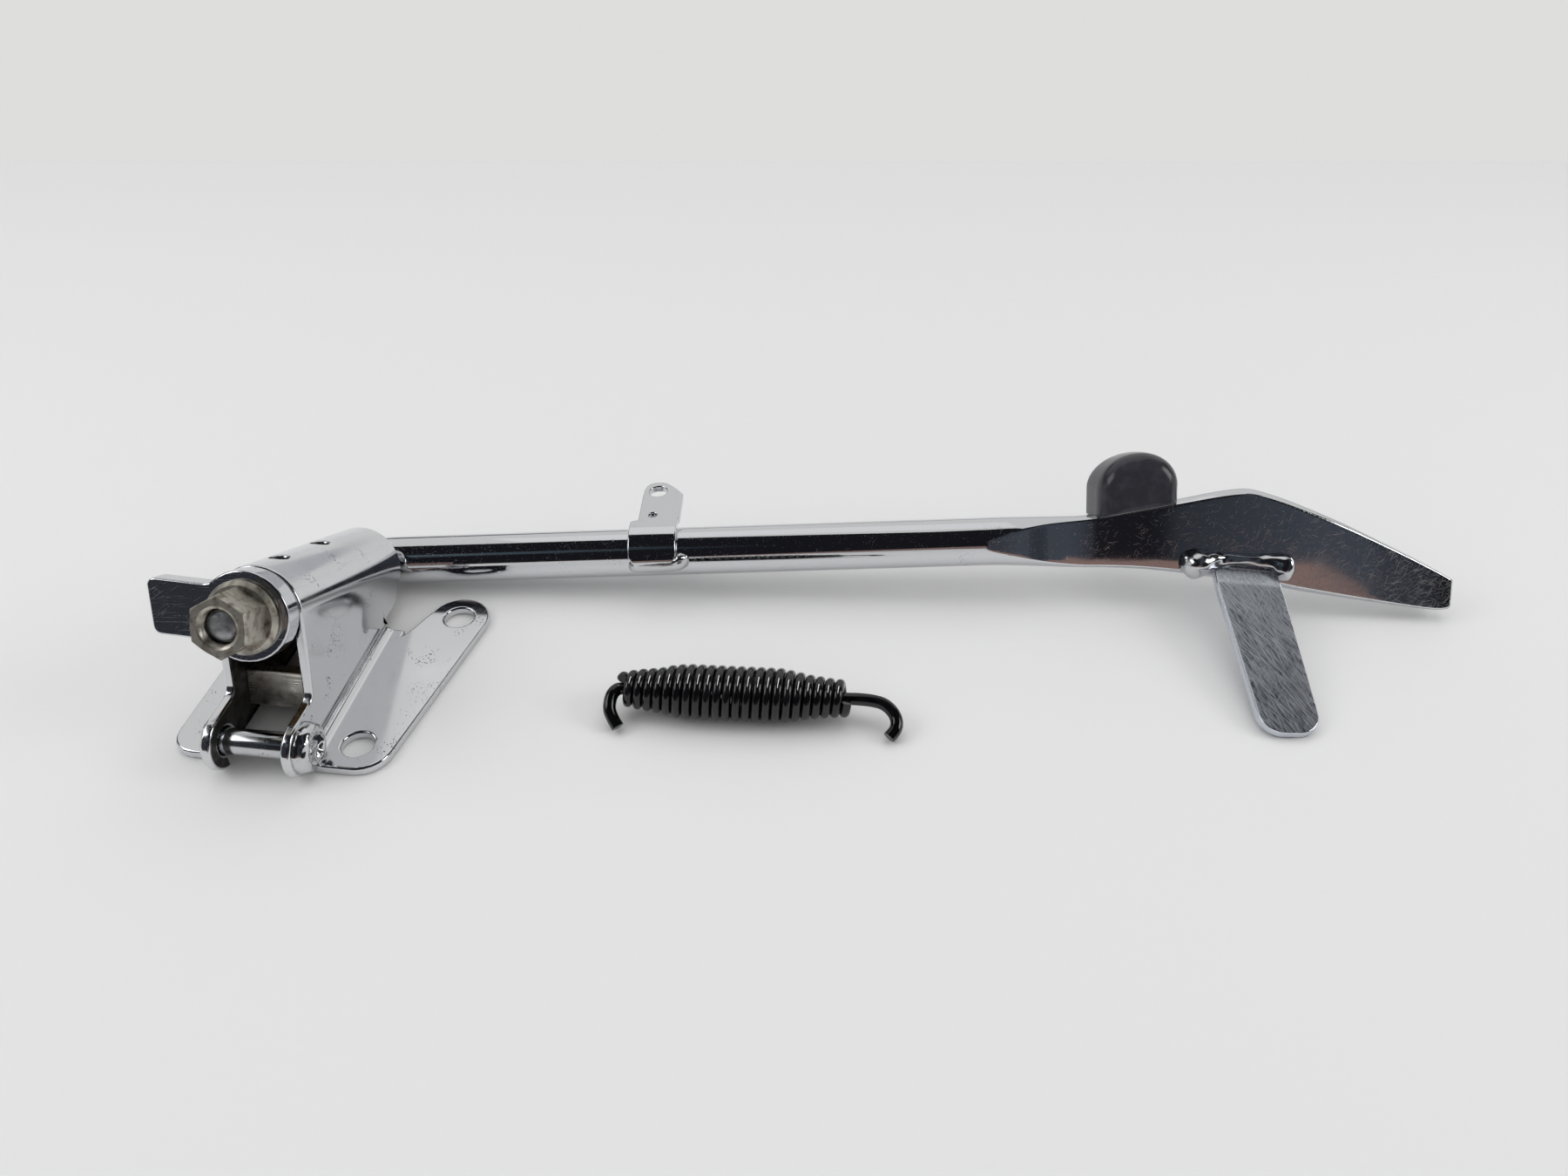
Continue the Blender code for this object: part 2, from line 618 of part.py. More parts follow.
def spring_radius(turn):
    """Outside radius of the coil at this many turns from its left end."""
    for (a, low), (b, high) in zip(SPRING_RADII, SPRING_RADII[1:]):
        if turn <= b:
            return low + (high - low) * (turn - a) / (b - a)
    return SPRING_RADII[-1][1]


def build_spring(black):
    """The barrel-shaped coil and its two swivel hooks."""
    start = Vector(SPRING_FROM)
    line = Vector(SPRING_TO) - start
    way = line.normalized()
    across = way.cross(Vector((0.0, 0.0, 1.0)))
    points = []
    for k in range(round(SPRING_TURNS * SPRING_POINTS) + 1):
        turns = k / SPRING_POINTS
        angle = 2.0 * math.pi * turns + math.radians(SPRING_START)
        radius = spring_radius(turns) - SPRING_WIRE_R
        side = across * math.cos(angle) + Vector((0.0, 0.0, 1.0)) * math.sin(angle)
        points.append(start + line * (turns / SPRING_TURNS) + side * radius)
    least = 1e9
    for i, first in enumerate(points):
        for second in points[i + SPRING_POINTS // 2 :]:
            least = min(least, (first - second).length)
    print(f"return_spring least gap to itself: {least - 2.0 * SPRING_WIRE_R:.2f} mm")
    tube("return_spring", points, [SPRING_WIRE_R] * len(points), None, black)

    for name, end, inward, free in (
        ("spring_hook_left", start, way, HOOK_LEFT),
        ("spring_hook_right", Vector(SPRING_TO), -way, HOOK_RIGHT),
    ):
        inside = ((9.0, 1.8), (8.4, 2.6), (6.8, 2.6), (6.2, 1.9), (3.0, 1.9), (-0.6, 1.9))
        points = [end + inward * d for d, _ in inside] + [Vector(p) for p in free]
        radii = [r for _, r in inside] + [HOOK_WIRE_R] * len(free)
        tube(name, points, radii, None, black)


def main():
    """Build every piece at rest."""
    clear_scene()
    chrome = finish("chrome", (0.62, 0.62, 0.63), 1.0, 0.12)
    steel = finish("bare_steel", (0.45, 0.44, 0.42), 1.0, 0.42)
    bronze = finish("bronze", (0.45, 0.33, 0.17), 1.0, 0.4)
    weld = finish("weld_bead", (0.5, 0.49, 0.47), 1.0, 0.35)
    zinc = finish("zinc_nut", (0.4, 0.39, 0.36), 1.0, 0.45)
    satin = finish("satin_chrome", (0.5, 0.5, 0.5), 1.0, 0.3)
    rubber = finish("black_rubber", (0.02, 0.02, 0.02), 0.0, 0.6)
    black = finish("black_gloss", (0.012, 0.012, 0.014), 0.0, 0.25)
    bracket = empty("bracket_frame", None, BRACKET_AT, (0.0, 0.0, BRACKET_TURN))
    pivot = empty("pivot_axis", bracket, PIVOT_AT, (90.0 - PIVOT_FALL, 0.0, 0.0))
    leg = empty("leg_axis", pivot, (0.0, 0.0, -LEG_CORNER), (0.0, LEG_TOE, LEG_LIFT))
    build_bracket(bracket, chrome, steel, weld)
    build_bushes(pivot, bronze)
    rod_piece = solid("leg_rod", leg_shape(), pivot, chrome)
    build_pivot_pieces(pivot, chrome, zinc)
    build_spring_tab(leg, chrome, weld)
    build_bumper(leg, rod_piece, rubber, steel)
    build_kick_tab(leg, satin, weld)
    build_spring(black)


main()
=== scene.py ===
"""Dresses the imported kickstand: plated steel, a grimy nut, a rubber bumper and a black spring."""

from __future__ import annotations

import json
import logging
from collections.abc import Iterator, Sequence
from contextlib import contextmanager
from dataclasses import dataclass
from enum import Enum
from math import acos, cos, hypot, pi, radians, sin, tan

import bmesh
import bpy
from mathutils import Euler, Matrix, Vector

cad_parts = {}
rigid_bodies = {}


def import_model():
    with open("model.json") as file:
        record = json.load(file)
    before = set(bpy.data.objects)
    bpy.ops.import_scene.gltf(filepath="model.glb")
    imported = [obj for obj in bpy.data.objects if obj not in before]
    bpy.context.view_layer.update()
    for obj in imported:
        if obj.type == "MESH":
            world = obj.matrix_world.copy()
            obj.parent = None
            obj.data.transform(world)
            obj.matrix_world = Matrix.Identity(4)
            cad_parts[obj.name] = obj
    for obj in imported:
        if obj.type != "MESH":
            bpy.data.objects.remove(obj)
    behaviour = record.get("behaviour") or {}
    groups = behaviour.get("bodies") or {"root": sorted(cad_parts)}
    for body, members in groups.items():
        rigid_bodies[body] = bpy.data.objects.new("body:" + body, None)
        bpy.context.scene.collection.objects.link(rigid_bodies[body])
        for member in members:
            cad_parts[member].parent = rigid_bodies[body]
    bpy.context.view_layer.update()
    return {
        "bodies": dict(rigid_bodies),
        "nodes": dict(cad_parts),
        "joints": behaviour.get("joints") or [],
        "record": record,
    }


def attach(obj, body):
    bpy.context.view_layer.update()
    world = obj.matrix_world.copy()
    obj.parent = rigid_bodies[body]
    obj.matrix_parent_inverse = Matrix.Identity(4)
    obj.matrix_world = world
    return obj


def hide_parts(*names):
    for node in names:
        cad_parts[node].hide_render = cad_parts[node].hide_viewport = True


LOG = logging.getLogger("kickstand")
MM = 0.001
UP = Vector((0.0, 0.0, 1.0))
Piece = bpy.types.Object
Tree = bpy.types.NodeTree
Socket = bpy.types.NodeSocket
Look = bpy.types.Material
Inputs = dict[str | int, object]
Ring = Sequence[Vector]
Table = Sequence[Sequence[float]]
Pair = tuple[float, float]
Spot = tuple[float, float, float]
Pairs = tuple[Pair, ...]
Spots = tuple[Spot, ...]
Quads = tuple[tuple[float, float, float, float], ...]

# Where the stand's own frames lie, in mm and degrees
BRACKET_AT, BRACKET_TURN = (-17.5, -37.6, 0.0), -6.714
BRACKET_MID = -16.5
PIVOT_AT, PIVOT_RISE = (BRACKET_MID, 14.3, 45.7), 26.6
LEG_DOWN, LEG_LIFT, LEG_TOE = 82.0, 5.28, 3.65
ROD_RADIUS = 8.0

# How meshes are cleaned and rounded: merges in mm, angles in degrees
MERGE, WIRE_MERGE = 0.02, 0.001
FLAT_ANGLE, WELD_ANGLE = 0.6, 75.0
ROUND_STEPS = 4
TURN_KEY = "turn_index"


class Body(Enum):
    """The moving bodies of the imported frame."""

    BRACKET = "bracket"
    LEG = "leg"
    HOOK_LEFT = "hook_left"
    HOOK_RIGHT = "hook_right"


class Slot(Enum):
    """The record's material slots, passed along with the new pieces."""

    CHROME = "chrome"
    BARE_STEEL = "bare_steel"
    WELD_BEAD = "weld_bead"
    ZINC_NUT = "zinc_nut"
    SATIN_CHROME = "satin_chrome"
    BLACK_RUBBER = "black_rubber"
    BLACK_GLOSS = "black_gloss"


def stepped(place: Matrix, at: Sequence[float], turns: Sequence[float]) -> Matrix:
    """Go on from a place by mm, then turn by degrees about x, y and z."""
    turned = Euler([radians(turn) for turn in turns]).to_matrix().to_4x4()
    return place @ Matrix.Translation(Vector(at) * MM) @ turned


@dataclass(frozen=True)
class Frames:
    """The places that the pieces hang on, in metres."""

    bracket: Matrix
    pivot: Matrix
    leg: Matrix

    @classmethod
    def at_rest(cls) -> Frames:
        """Work out the three frames from the stand's own sizes.

        Returns:
            The bracket's frame, the pivot's frame with z along the hinge, and the leg's frame.
        """
        bracket = stepped(Matrix.Identity(4), BRACKET_AT, (0.0, 0.0, BRACKET_TURN))
        pivot = stepped(bracket, PIVOT_AT, (90.0 - PIVOT_RISE, 0.0, 0.0))
        leg = stepped(pivot, (0.0, 0.0, -LEG_DOWN), (0.0, LEG_TOE, LEG_LIFT))
        return cls(bracket, pivot, leg)


def select_only(obj: Piece) -> None:
    """Make one object the only selected and the active one.

    Args:
        obj: The object.
    """
    bpy.ops.object.select_all(action="DESELECT")
    obj.select_set(True)
    bpy.context.view_layer.objects.active = obj


@contextmanager
def edit_mode(obj: Piece) -> Iterator[None]:
    """Hold one object in edit mode.

    Args:
        obj: The mesh object to edit.

    Returns:
        The hold, for a with statement.
    """
    select_only(obj)
    bpy.ops.object.mode_set(mode="EDIT")
    try:
        yield
    finally:
        bpy.ops.object.mode_set(mode="OBJECT")


def apply_step(obj: Piece, kind: str, **settings: object) -> None:
    """Add one modifier with its settings and apply it.

    Args:
        obj: The object to change.
        kind: The modifier's type.
        settings: The modifier's properties.
    """
    step = obj.modifiers.new(kind.lower(), kind)
    for key, value in settings.items():
        setattr(step, key, value)
    select_only(obj)
    bpy.ops.object.modifier_apply(modifier=step.name)


def smooth(obj: Piece, degrees: float) -> None:
    """Shade smooth, with edges sharper than this many degrees kept."""
    select_only(obj)
    bpy.ops.object.shade_smooth_by_angle(angle=radians(degrees))


def smooth_flat(obj: Piece, degrees: float) -> None:
    """Shade smooth, with flat faces kept flat to the eye beside their rounds."""
    smooth(obj, degrees)
    apply_step(obj, "WEIGHTED_NORMAL", mode="FACE_AREA", weight=100, keep_sharp=True)


def round_edges(obj: Piece, width: float, degrees: float = 35.0) -> None:
    """Round the sharp edges of a piece and shade it.

    Args:
        obj: The piece, in its place.
        width: Width of the round in mm.
        degrees: Edges sharper than this are rounded.
    """
    apply_step(
        obj,
        "BEVEL",
        width=width * MM,
        segments=ROUND_STEPS,
        limit_method="ANGLE",
        angle_limit=radians(degrees),
        use_clamp_overlap=False,
    )
    smooth_flat(obj, degrees)


def put(obj: Piece, place: Matrix) -> None:
    """Move a finished mesh to its place and apply it, so that the object stays at the origin.

    Args:
        obj: The piece.
        place: Where it goes.
    """
    select_only(obj)
    obj.matrix_world = place @ obj.matrix_world
    bpy.ops.object.transform_apply(location=True, rotation=True, scale=True)


def solid_copy(frame: dict, node: str, name: str) -> Piece:
    """Copy one node of the frame as a merged mesh of clean faces.

    Args:
        node: The node to copy.
        name: The new piece's name.

    Returns:
        The new object, at the origin.
    """
    made = bpy.data.objects.new(name, frame["nodes"][node].data.copy())
    made.data.name = name
    bpy.context.scene.collection.objects.link(made)
    select_only(made)
    bpy.ops.mesh.customdata_custom_splitnormals_clear()
    with edit_mode(made):
        bpy.ops.mesh.select_all(action="SELECT")
        bpy.ops.mesh.remove_doubles(threshold=MERGE * MM)
        bpy.ops.mesh.dissolve_limited(angle_limit=radians(FLAT_ANGLE))
    return made


def place_ring(mesh: bpy.types.Mesh, ring: Ring) -> None:
    """Put the selected points of a mesh in edit mode on a ring.

    Args:
        mesh: The mesh, whose points carry their number in the ring.
        ring: Where they go, in mm.
    """
    skin = bmesh.from_edit_mesh(mesh)
    layer = skin.verts.layers.int[TURN_KEY]
    for point in skin.verts:
        if point.select:
            point.co = ring[point[layer]] * MM
    bmesh.update_edit_mesh(mesh)


def draw_skin(name: str, rings: Sequence[Ring], loop: bool = False) -> Piece:
    """Draw a skin out ring by ring with extrude, from one circle, and close it.

    Args:
        name: The piece's name.
        rings: The rings in order, in mm, all with the same number of points.
        loop: True joins the last ring to the first, False caps both ends.

    Returns:
        The finished object.
    """
    count = len(rings[0])
    bpy.ops.object.select_all(action="DESELECT")
    bpy.ops.mesh.primitive_circle_add(vertices=count, radius=MM, fill_type="NOTHING")
    made = bpy.context.active_object
    made.name = made.data.name = name
    marks = made.data.attributes.new(TURN_KEY, "INT", "POINT")
    marks.data.foreach_set("value", list(range(count)))
    ops = bpy.ops.mesh
    with edit_mode(made):
        ops.select_all(action="SELECT")
        place_ring(made.data, rings[0])
        for ring in rings[1:]:
            ops.extrude_region_move()
            place_ring(made.data, ring)
        ops.select_mode(type="EDGE")
        ops.select_all(action="DESELECT")
        ops.select_non_manifold(use_wire=False, use_multi_face=False, use_verts=False)
        if loop:
            ops.bridge_edge_loops()
        else:
            ops.select_all(action="SELECT")
            ops.fill_holes(sides=0)
        ops.select_all(action="SELECT")
        ops.normals_make_consistent(inside=False)
        ops.select_mode(type="VERT")
    made.data.attributes.remove(made.data.attributes[TURN_KEY])
    return made


def polar_ring(radii: Sequence[float], height: float) -> list[Vector]:
    """Points about z at even turns.

    Args:
        radii: Each point's distance from z in mm.
        height: Height of the ring in mm.

    Returns:
        The ring's points.
    """
    turns = [2.0 * pi * k / len(radii) for k in range(len(radii))]
    return [Vector((r * cos(t), r * sin(t), height)) for r, t in zip(radii, turns)]


def curve_value(a: float, b: float, c: float, d: float, t: float) -> float:
    """A point between b and c on the smooth curve through four values."""
    value = 2 * b + (c - a) * t + (2 * a - 5 * b + 4 * c - d) * t**2
    return 0.5 * (value + (3 * b - a - 3 * c + d) * t**3)


def eased(table: Table, parts: int) -> list[list[float]]:
    """Fill a table with rows on a smooth curve through its own rows.

    Args:
        table: The given rows.
        parts: Steps from one row to the next.

    Returns:
        More rows, the given ones among them.
    """
    rows = [list(table[0])]
    last = len(table) - 1
    for k in range(last):
        near = table[max(k - 1, 0)], table[k], table[k + 1], table[min(k + 2, last)]
        for part in range(1, parts + 1):
            rows.append([curve_value(*column, part / parts) for column in zip(*near)])
    return rows


def between(table: Table, at: float) -> list[float]:
    """Read a table of rising first values on straight lines between its rows.

    Args:
        table: Rows of a place and the values there.
        at: Where to read it.

    Returns:
        The values at that place.
    """
    for low, high in zip(table, table[1:]):
        if at <= high[0]:
            share = (at - low[0]) / (high[0] - low[0])
            return [a + (b - a) * share for a, b in zip(low[1:], high[1:])]
    return list(table[-1][1:])


def linear(code: str) -> tuple[float, float, float, float]:
    """Turn an sRGB hex colour to linear light.

    Args:
        code: The colour, as a number sign and six hex digits.

    Returns:
        Red, green, blue and alpha.
    """
    parts = [int(code[k : k + 2], 16) / 255.0 for k in (1, 3, 5)]
    parts = [c / 12.92 if c <= 0.04045 else ((c + 0.055) / 1.055) ** 2.4 for c in parts]
    return (*parts, 1.0)


def add_node(
    tree: Tree, kind: str, inputs: Inputs | None = None, out: str | int = 0, **settings: object
) -> Socket | None:
    """Add one shader node with its settings, values and links.

    Args:
        tree: The node tree.
        kind: The node's type, without its first words.
        inputs: Socket names or numbers, each with an output to link or a value to set.
        out: Name or number of the output that is wanted.
        settings: The node's own properties.

    Returns:
        That output, or None where the node has none.
    """
    node = tree.nodes.new(f"ShaderNode{kind}")
    for key, value in settings.items():
        setattr(node, key, value)
    for key, value in (inputs or {}).items():
        if isinstance(value, Socket):
            tree.links.new(value, node.inputs[key])
        else:
            node.inputs[key].default_value = value
    return node.outputs[out] if node.outputs else None


@dataclass(frozen=True)
class Grain:
    """Fine lines: length and spacing in mm, share of noise that makes a line, turn in the face."""

    length: float
    spacing: float
    keep: float
    turn: float


@dataclass(frozen=True)
class Finish:
    """One finish: what the real surface is, as colours, gloss and marks in mm."""

    name: str
    colour: str
    mark_colour: str
    roughness: float
    smudge: float
    smudge_size: float
    smudge_span: Pair = (0.35, 0.7)
    mark_span: Pair = (0.45, 0.72)
    metallic: float = 1.0
    specular: float = 0.5
    pit_size: float = 0.0
    pit_keep: float = 0.3
    pit_rough: float = 0.4
    pit_soft: float = 0.08
    patch_size: float = 9.0
    patch_span: Pair = (0.45, 0.7)
    grains: tuple[Grain, ...] = ()
    grain_rough: float = 0.3
    grain_soft: float = 0.06
    grain_apart: Pair = (13.0, 7.0)
    bump: float = 0.0
    bump_deep: float = 0.05
    wear: Pair | None = None
    wear_keep: float = 0.075
    wear_rough: float = 0.02

    def worn(self, tree: Tree, place: Socket) -> Socket:
        """Say how worn each place is, along x.

        Args:
            tree: The material's nodes.
            place: Object coordinates.

        Returns:
            The share, 0 before the wear starts and 1 where it is full.
        """
        start, full = self.wear
        along = add_node(tree, "SeparateXYZ", {0: place}, "X")
        limits = {"Value": along, "From Min": start * MM, "From Max": full * MM}
        return add_node(tree, "MapRange", limits)

    def lines(self, tree: Tree, place: Socket, lay: Matrix, worn: Socket | None) -> Socket:
        """Draw all grains as one mask.

        Args:
            tree: The material's nodes.
            place: Object coordinates.
            lay: The face's own directions, with z out of it.
            worn: How worn each place is, where wear thickens the lines.

        Returns:
            The mask, 1 on a line.
        """
        total = None
        for k, grain in enumerate(self.grains):
            laid = {
                "Vector": place,
                "Location": (*(shift * MM * k for shift in self.grain_apart), 0.0),
                "Rotation": (lay @ Matrix.Rotation(radians(grain.turn), 3, "Z")).to_euler(),
                "Scale": (grain.length * MM, grain.spacing * MM, grain.spacing * MM),
            }
            spot = add_node(tree, "Mapping", laid, vector_type="TEXTURE")
            value = add_node(tree, "TexNoise", {"Vector": spot, "Scale": 1.0, "Detail": 2.0}, "Fac")
            if worn:
                thicker = {0: worn, 1: self.wear_keep, 2: value}
                value = add_node(tree, "Math", thicker, operation="MULTIPLY_ADD")
            low = 1.0 - grain.keep
            limits = {"Value": value, "From Min": low, "From Max": low + self.grain_soft}
            line = add_node(tree, "MapRange", limits)
            if total:
                line = add_node(tree, "Math", {0: total, 1: line}, operation="MAXIMUM")
            total = line
        return total

    def pits(self, tree: Tree, place: Socket) -> Socket:
        """Draw specks of pitting that gather in patches.

        Args:
            tree: The material's nodes.
            place: Object coordinates.

        Returns:
            The mask, 1 in a pit.
        """
        fine = {"Vector": place, "Scale": 1.0 / (self.pit_size * MM)}
        cells = add_node(tree, "TexVoronoi", fine, "Distance", feature="F1")
        coarse = {"Vector": place, "Scale": 1.0 / (self.patch_size * MM), "Detail": 3.0}
        patch = add_node(tree, "TexNoise", coarse, "Fac")
        low, high = self.patch_span
        limits = {"Value": patch, "From Min": low, "From Max": high, "To Max": self.pit_keep}
        reach = add_node(tree, "MapRange", limits)
        deep = add_node(tree, "Math", {0: reach, 1: cells}, operation="SUBTRACT")
        return add_node(tree, "MapRange", {"Value": deep, "From Max": self.pit_soft})

    def build(self, lay: Matrix | None = None) -> Look:
        """Make the material.

        Args:
            lay: Directions of the face that the lines run on.

        Returns:
            A node material on Object coordinates.
        """
        made = bpy.data.materials.new(self.name)
        made.use_nodes = True
        tree = made.node_tree
        place = add_node(tree, "TexCoord", out="Object")
        coarse = {"Vector": place, "Scale": 1.0 / (self.smudge_size * MM), "Detail": 4.0}
        cloud = add_node(tree, "TexNoise", coarse, "Fac")
        low, high = self.smudge_span
        limits = {"Value": cloud, "From Min": low, "From Max": high}
        limits |= {"To Min": self.roughness, "To Max": self.roughness + self.smudge}
        rough = add_node(tree, "MapRange", limits)
        worn = self.worn(tree, place) if self.wear else None
        grain = self.lines(tree, place, lay or Matrix.Identity(3), worn) if self.grains else None
        pit = self.pits(tree, place) if self.pit_size else None
        steps = (worn, self.wear_rough), (grain, self.grain_rough), (pit, self.pit_rough)
        for mask, more in steps:
            if mask:
                rougher = {0: mask, 1: more, 2: rough}
                rough = add_node(tree, "Math", rougher, operation="MULTIPLY_ADD")
        low, high = self.mark_span
        stain = {"Value": cloud, "From Min": low, "From Max": high}
        mark = pit or add_node(tree, "MapRange", stain)
        tints = {0: mark, 6: linear(self.colour), 7: linear(self.mark_colour)}
        inputs = tree.nodes["Principled BSDF"].inputs
        inputs["Metallic"].default_value = self.metallic
        inputs["Specular IOR Level"].default_value = self.specular
        tree.links.new(add_node(tree, "Mix", tints, 2, data_type="RGBA"), inputs["Base Color"])
        tree.links.new(rough, inputs["Roughness"])
        if self.bump:
            dent = {"Strength": self.bump, "Distance": self.bump_deep * MM, "Height": grain or mark}
            tree.links.new(add_node(tree, "Bump", dent, invert=True), inputs["Normal"])
        return made


# Decorative chrome over forged steel: a mirror with hairline scratches and specks of pitting.
# Real hairlines are some hundredths of a mm wide and are drawn coarser, so that they show.
LEG_CHROME = Finish(
    "chrome_plate_leg",
    "#D6D8DB",
    "#B9BBBF",
    roughness=0.015,
    smudge=0.03,
    smudge_size=22.0,
    pit_size=0.8,
    grains=(
        Grain(5.0, 0.16, 0.312, 35.0),
        Grain(4.0, 0.15, 0.302, -28.0),
        Grain(6.0, 0.16, 0.3, 68.0),
        Grain(8.0, 0.16, 0.3, 8.0),
    ),
    grain_rough=0.42,
    bump=0.04,
    wear=(245.0, 330.0),
)
# Chrome over pressed sheet: a slightly soft mirror with dark pits where the plate has gone
SHEET_CHROME = Finish(
    "chrome_plate_sheet",
    "#D9DADD",
    "#77736F",
    roughness=0.08,
    smudge=0.1,
    smudge_size=16.0,
    pit_size=0.8,
    pit_keep=0.36,
    bump=0.1,
)
# Inner faces of the walls, behind the ears: dull metal painted dark as the shade inside the
# channel, with darker blotches at random
INSIDE_SHADE_STEEL = Finish("steel_inside_painted_shade", "#5C5A58", "#2A2624", 0.4, 0.2, 5.0, bump=0.3)
# Chrome over a cut plate: a mirror rubbed by road dirt
PLATE_CHROME = Finish(
    "chrome_plate_stop",
    "#D2D4D8",
    "#A3A5A9",
    roughness=0.05,
    smudge=0.05,
    smudge_size=12.0,
    pit_size=0.7,
    grains=(Grain(14.0, 0.16, 0.36, 4.0), Grain(8.0, 0.16, 0.33, 35.0)),
    bump=0.06,
)
# Chrome over a weld bead: bright ripples with dull specks in the hollows
WELD_CHROME = Finish(
    "chrome_plate_weld", "#CFD0D2", "#6A6058", 0.1, 0.1, 5.0, pit_size=0.7, bump=0.1
)
# Chrome worn satin by boots: a soft sheen under many fine slanted scratches
TAB_CHROME = Finish(
    "chrome_scuffed_satin",
    "#D8DCE4",
    "#BDC1C9",
    roughness=0.1,
    smudge=0.08,
    smudge_size=18.0,
    grains=(
        Grain(9.0, 0.14, 0.46, 66.0),
        Grain(7.0, 0.13, 0.45, 52.0),
        Grain(8.0, 0.13, 0.44, 82.0),
        Grain(6.0, 0.14, 0.4, -58.0),
    ),
    grain_rough=0.28,
    bump=0.12,
)
# Bare steel ground flat: straight grinding lines and brown stains
GROUND_STEEL = Finish(
    "steel_ground_bare",
    "#E6E2DA",
    "#75675A",
    roughness=0.26,
    smudge=0.14,
    smudge_size=6.0,
    grains=(Grain(34.0, 0.36, 0.5, 0.0),),
    grain_rough=0.24,
    bump=0.3,
)
# Plated steel rod: bright, with a few dull specks
PIN_STEEL = Finish(
    "steel_pin_plated", "#C9CBCE", "#6A6058", 0.1, 0.12, 6.0, pit_size=0.8, bump=0.08
)
# Zinc plate gone dull: grey-tan metal with dark grime in patches
NUT_ZINC = Finish("zinc_plate_grimy", "#BCB8AE", "#6E6254", 0.36, 0.2, 2.6, bump=0.3)
# Bare stud end: dull grey turned steel
STUD_STEEL = Finish("steel_stud_end", "#BCBEC0", "#7A7C80", 0.4, 0.16, 2.2, bump=0.3)
# Plain turned bronze: warm and soft
BUSH_BRONZE = Finish("bronze_turned", "#B08A52", "#6A4E2A", 0.34, 0.12, 5.0)
# Moulded rubber: black with a soft gloss and greyer scuffs
BUMPER_RUBBER = Finish(
    "rubber_moulded", "#313137", "#3B3B42", 0.15, 0.12, 4.0, metallic=0.0, specular=0.35, bump=0.05
)
# Dipped black coating: deep black with sharp thin lights
SPRING_BLACK = Finish(
    "gloss_black_dip", "#060607", "#0E0E10", 0.07, 0.08, 5.0, metallic=0.0, specular=0.55, bump=0.08
)


def dress(obj: Piece, look: Look, body: Body, slot: Slot, *nodes: str) -> None:
    """Give a finished piece its material and body, and hide the nodes that it replaces.

    Args:
        obj: The piece.
        look: Its material.
        body: The body it moves with.
        slot: The record's slot; not used.
        nodes: Frame nodes that it replaces.
    """
    obj.data.materials.clear()
    obj.data.materials.append(look)
    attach(obj, body.value)
    if nodes:
        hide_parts(*nodes)
    LOG.info("%s: %d faces on %s", obj.name, len(obj.data.polygons), body.value)


@dataclass(frozen=True)
class Weld:
    """One weld bead: its piece, body and node, and its lumps' size and height in mm."""

    name: str
    body: Body
    node: str
    lump_size: float
    lump_height: float

    def build(self, rings: Sequence[Ring], place: Matrix, look: Look) -> None:
        """Draw the bead, put it in its place, raise its ripples and dress it.

        Args:
            rings: Its rings in mm.
            place: Where they go.
            look: Its material.
        """
        bead = draw_skin(self.name, rings)
        put(bead, place)
        cloud = bpy.data.textures.new(f"{self.name}_lumps", "CLOUDS")
        cloud.noise_scale = self.lump_size * MM
        height = self.lump_height * MM
        apply_step(
            bead, "DISPLACE", texture=cloud, texture_coords="GLOBAL", strength=height, mid_level=0.5
        )
        smooth(bead, WELD_ANGLE)
        dress(bead, look, self.body, Slot.WELD_BEAD, self.node)


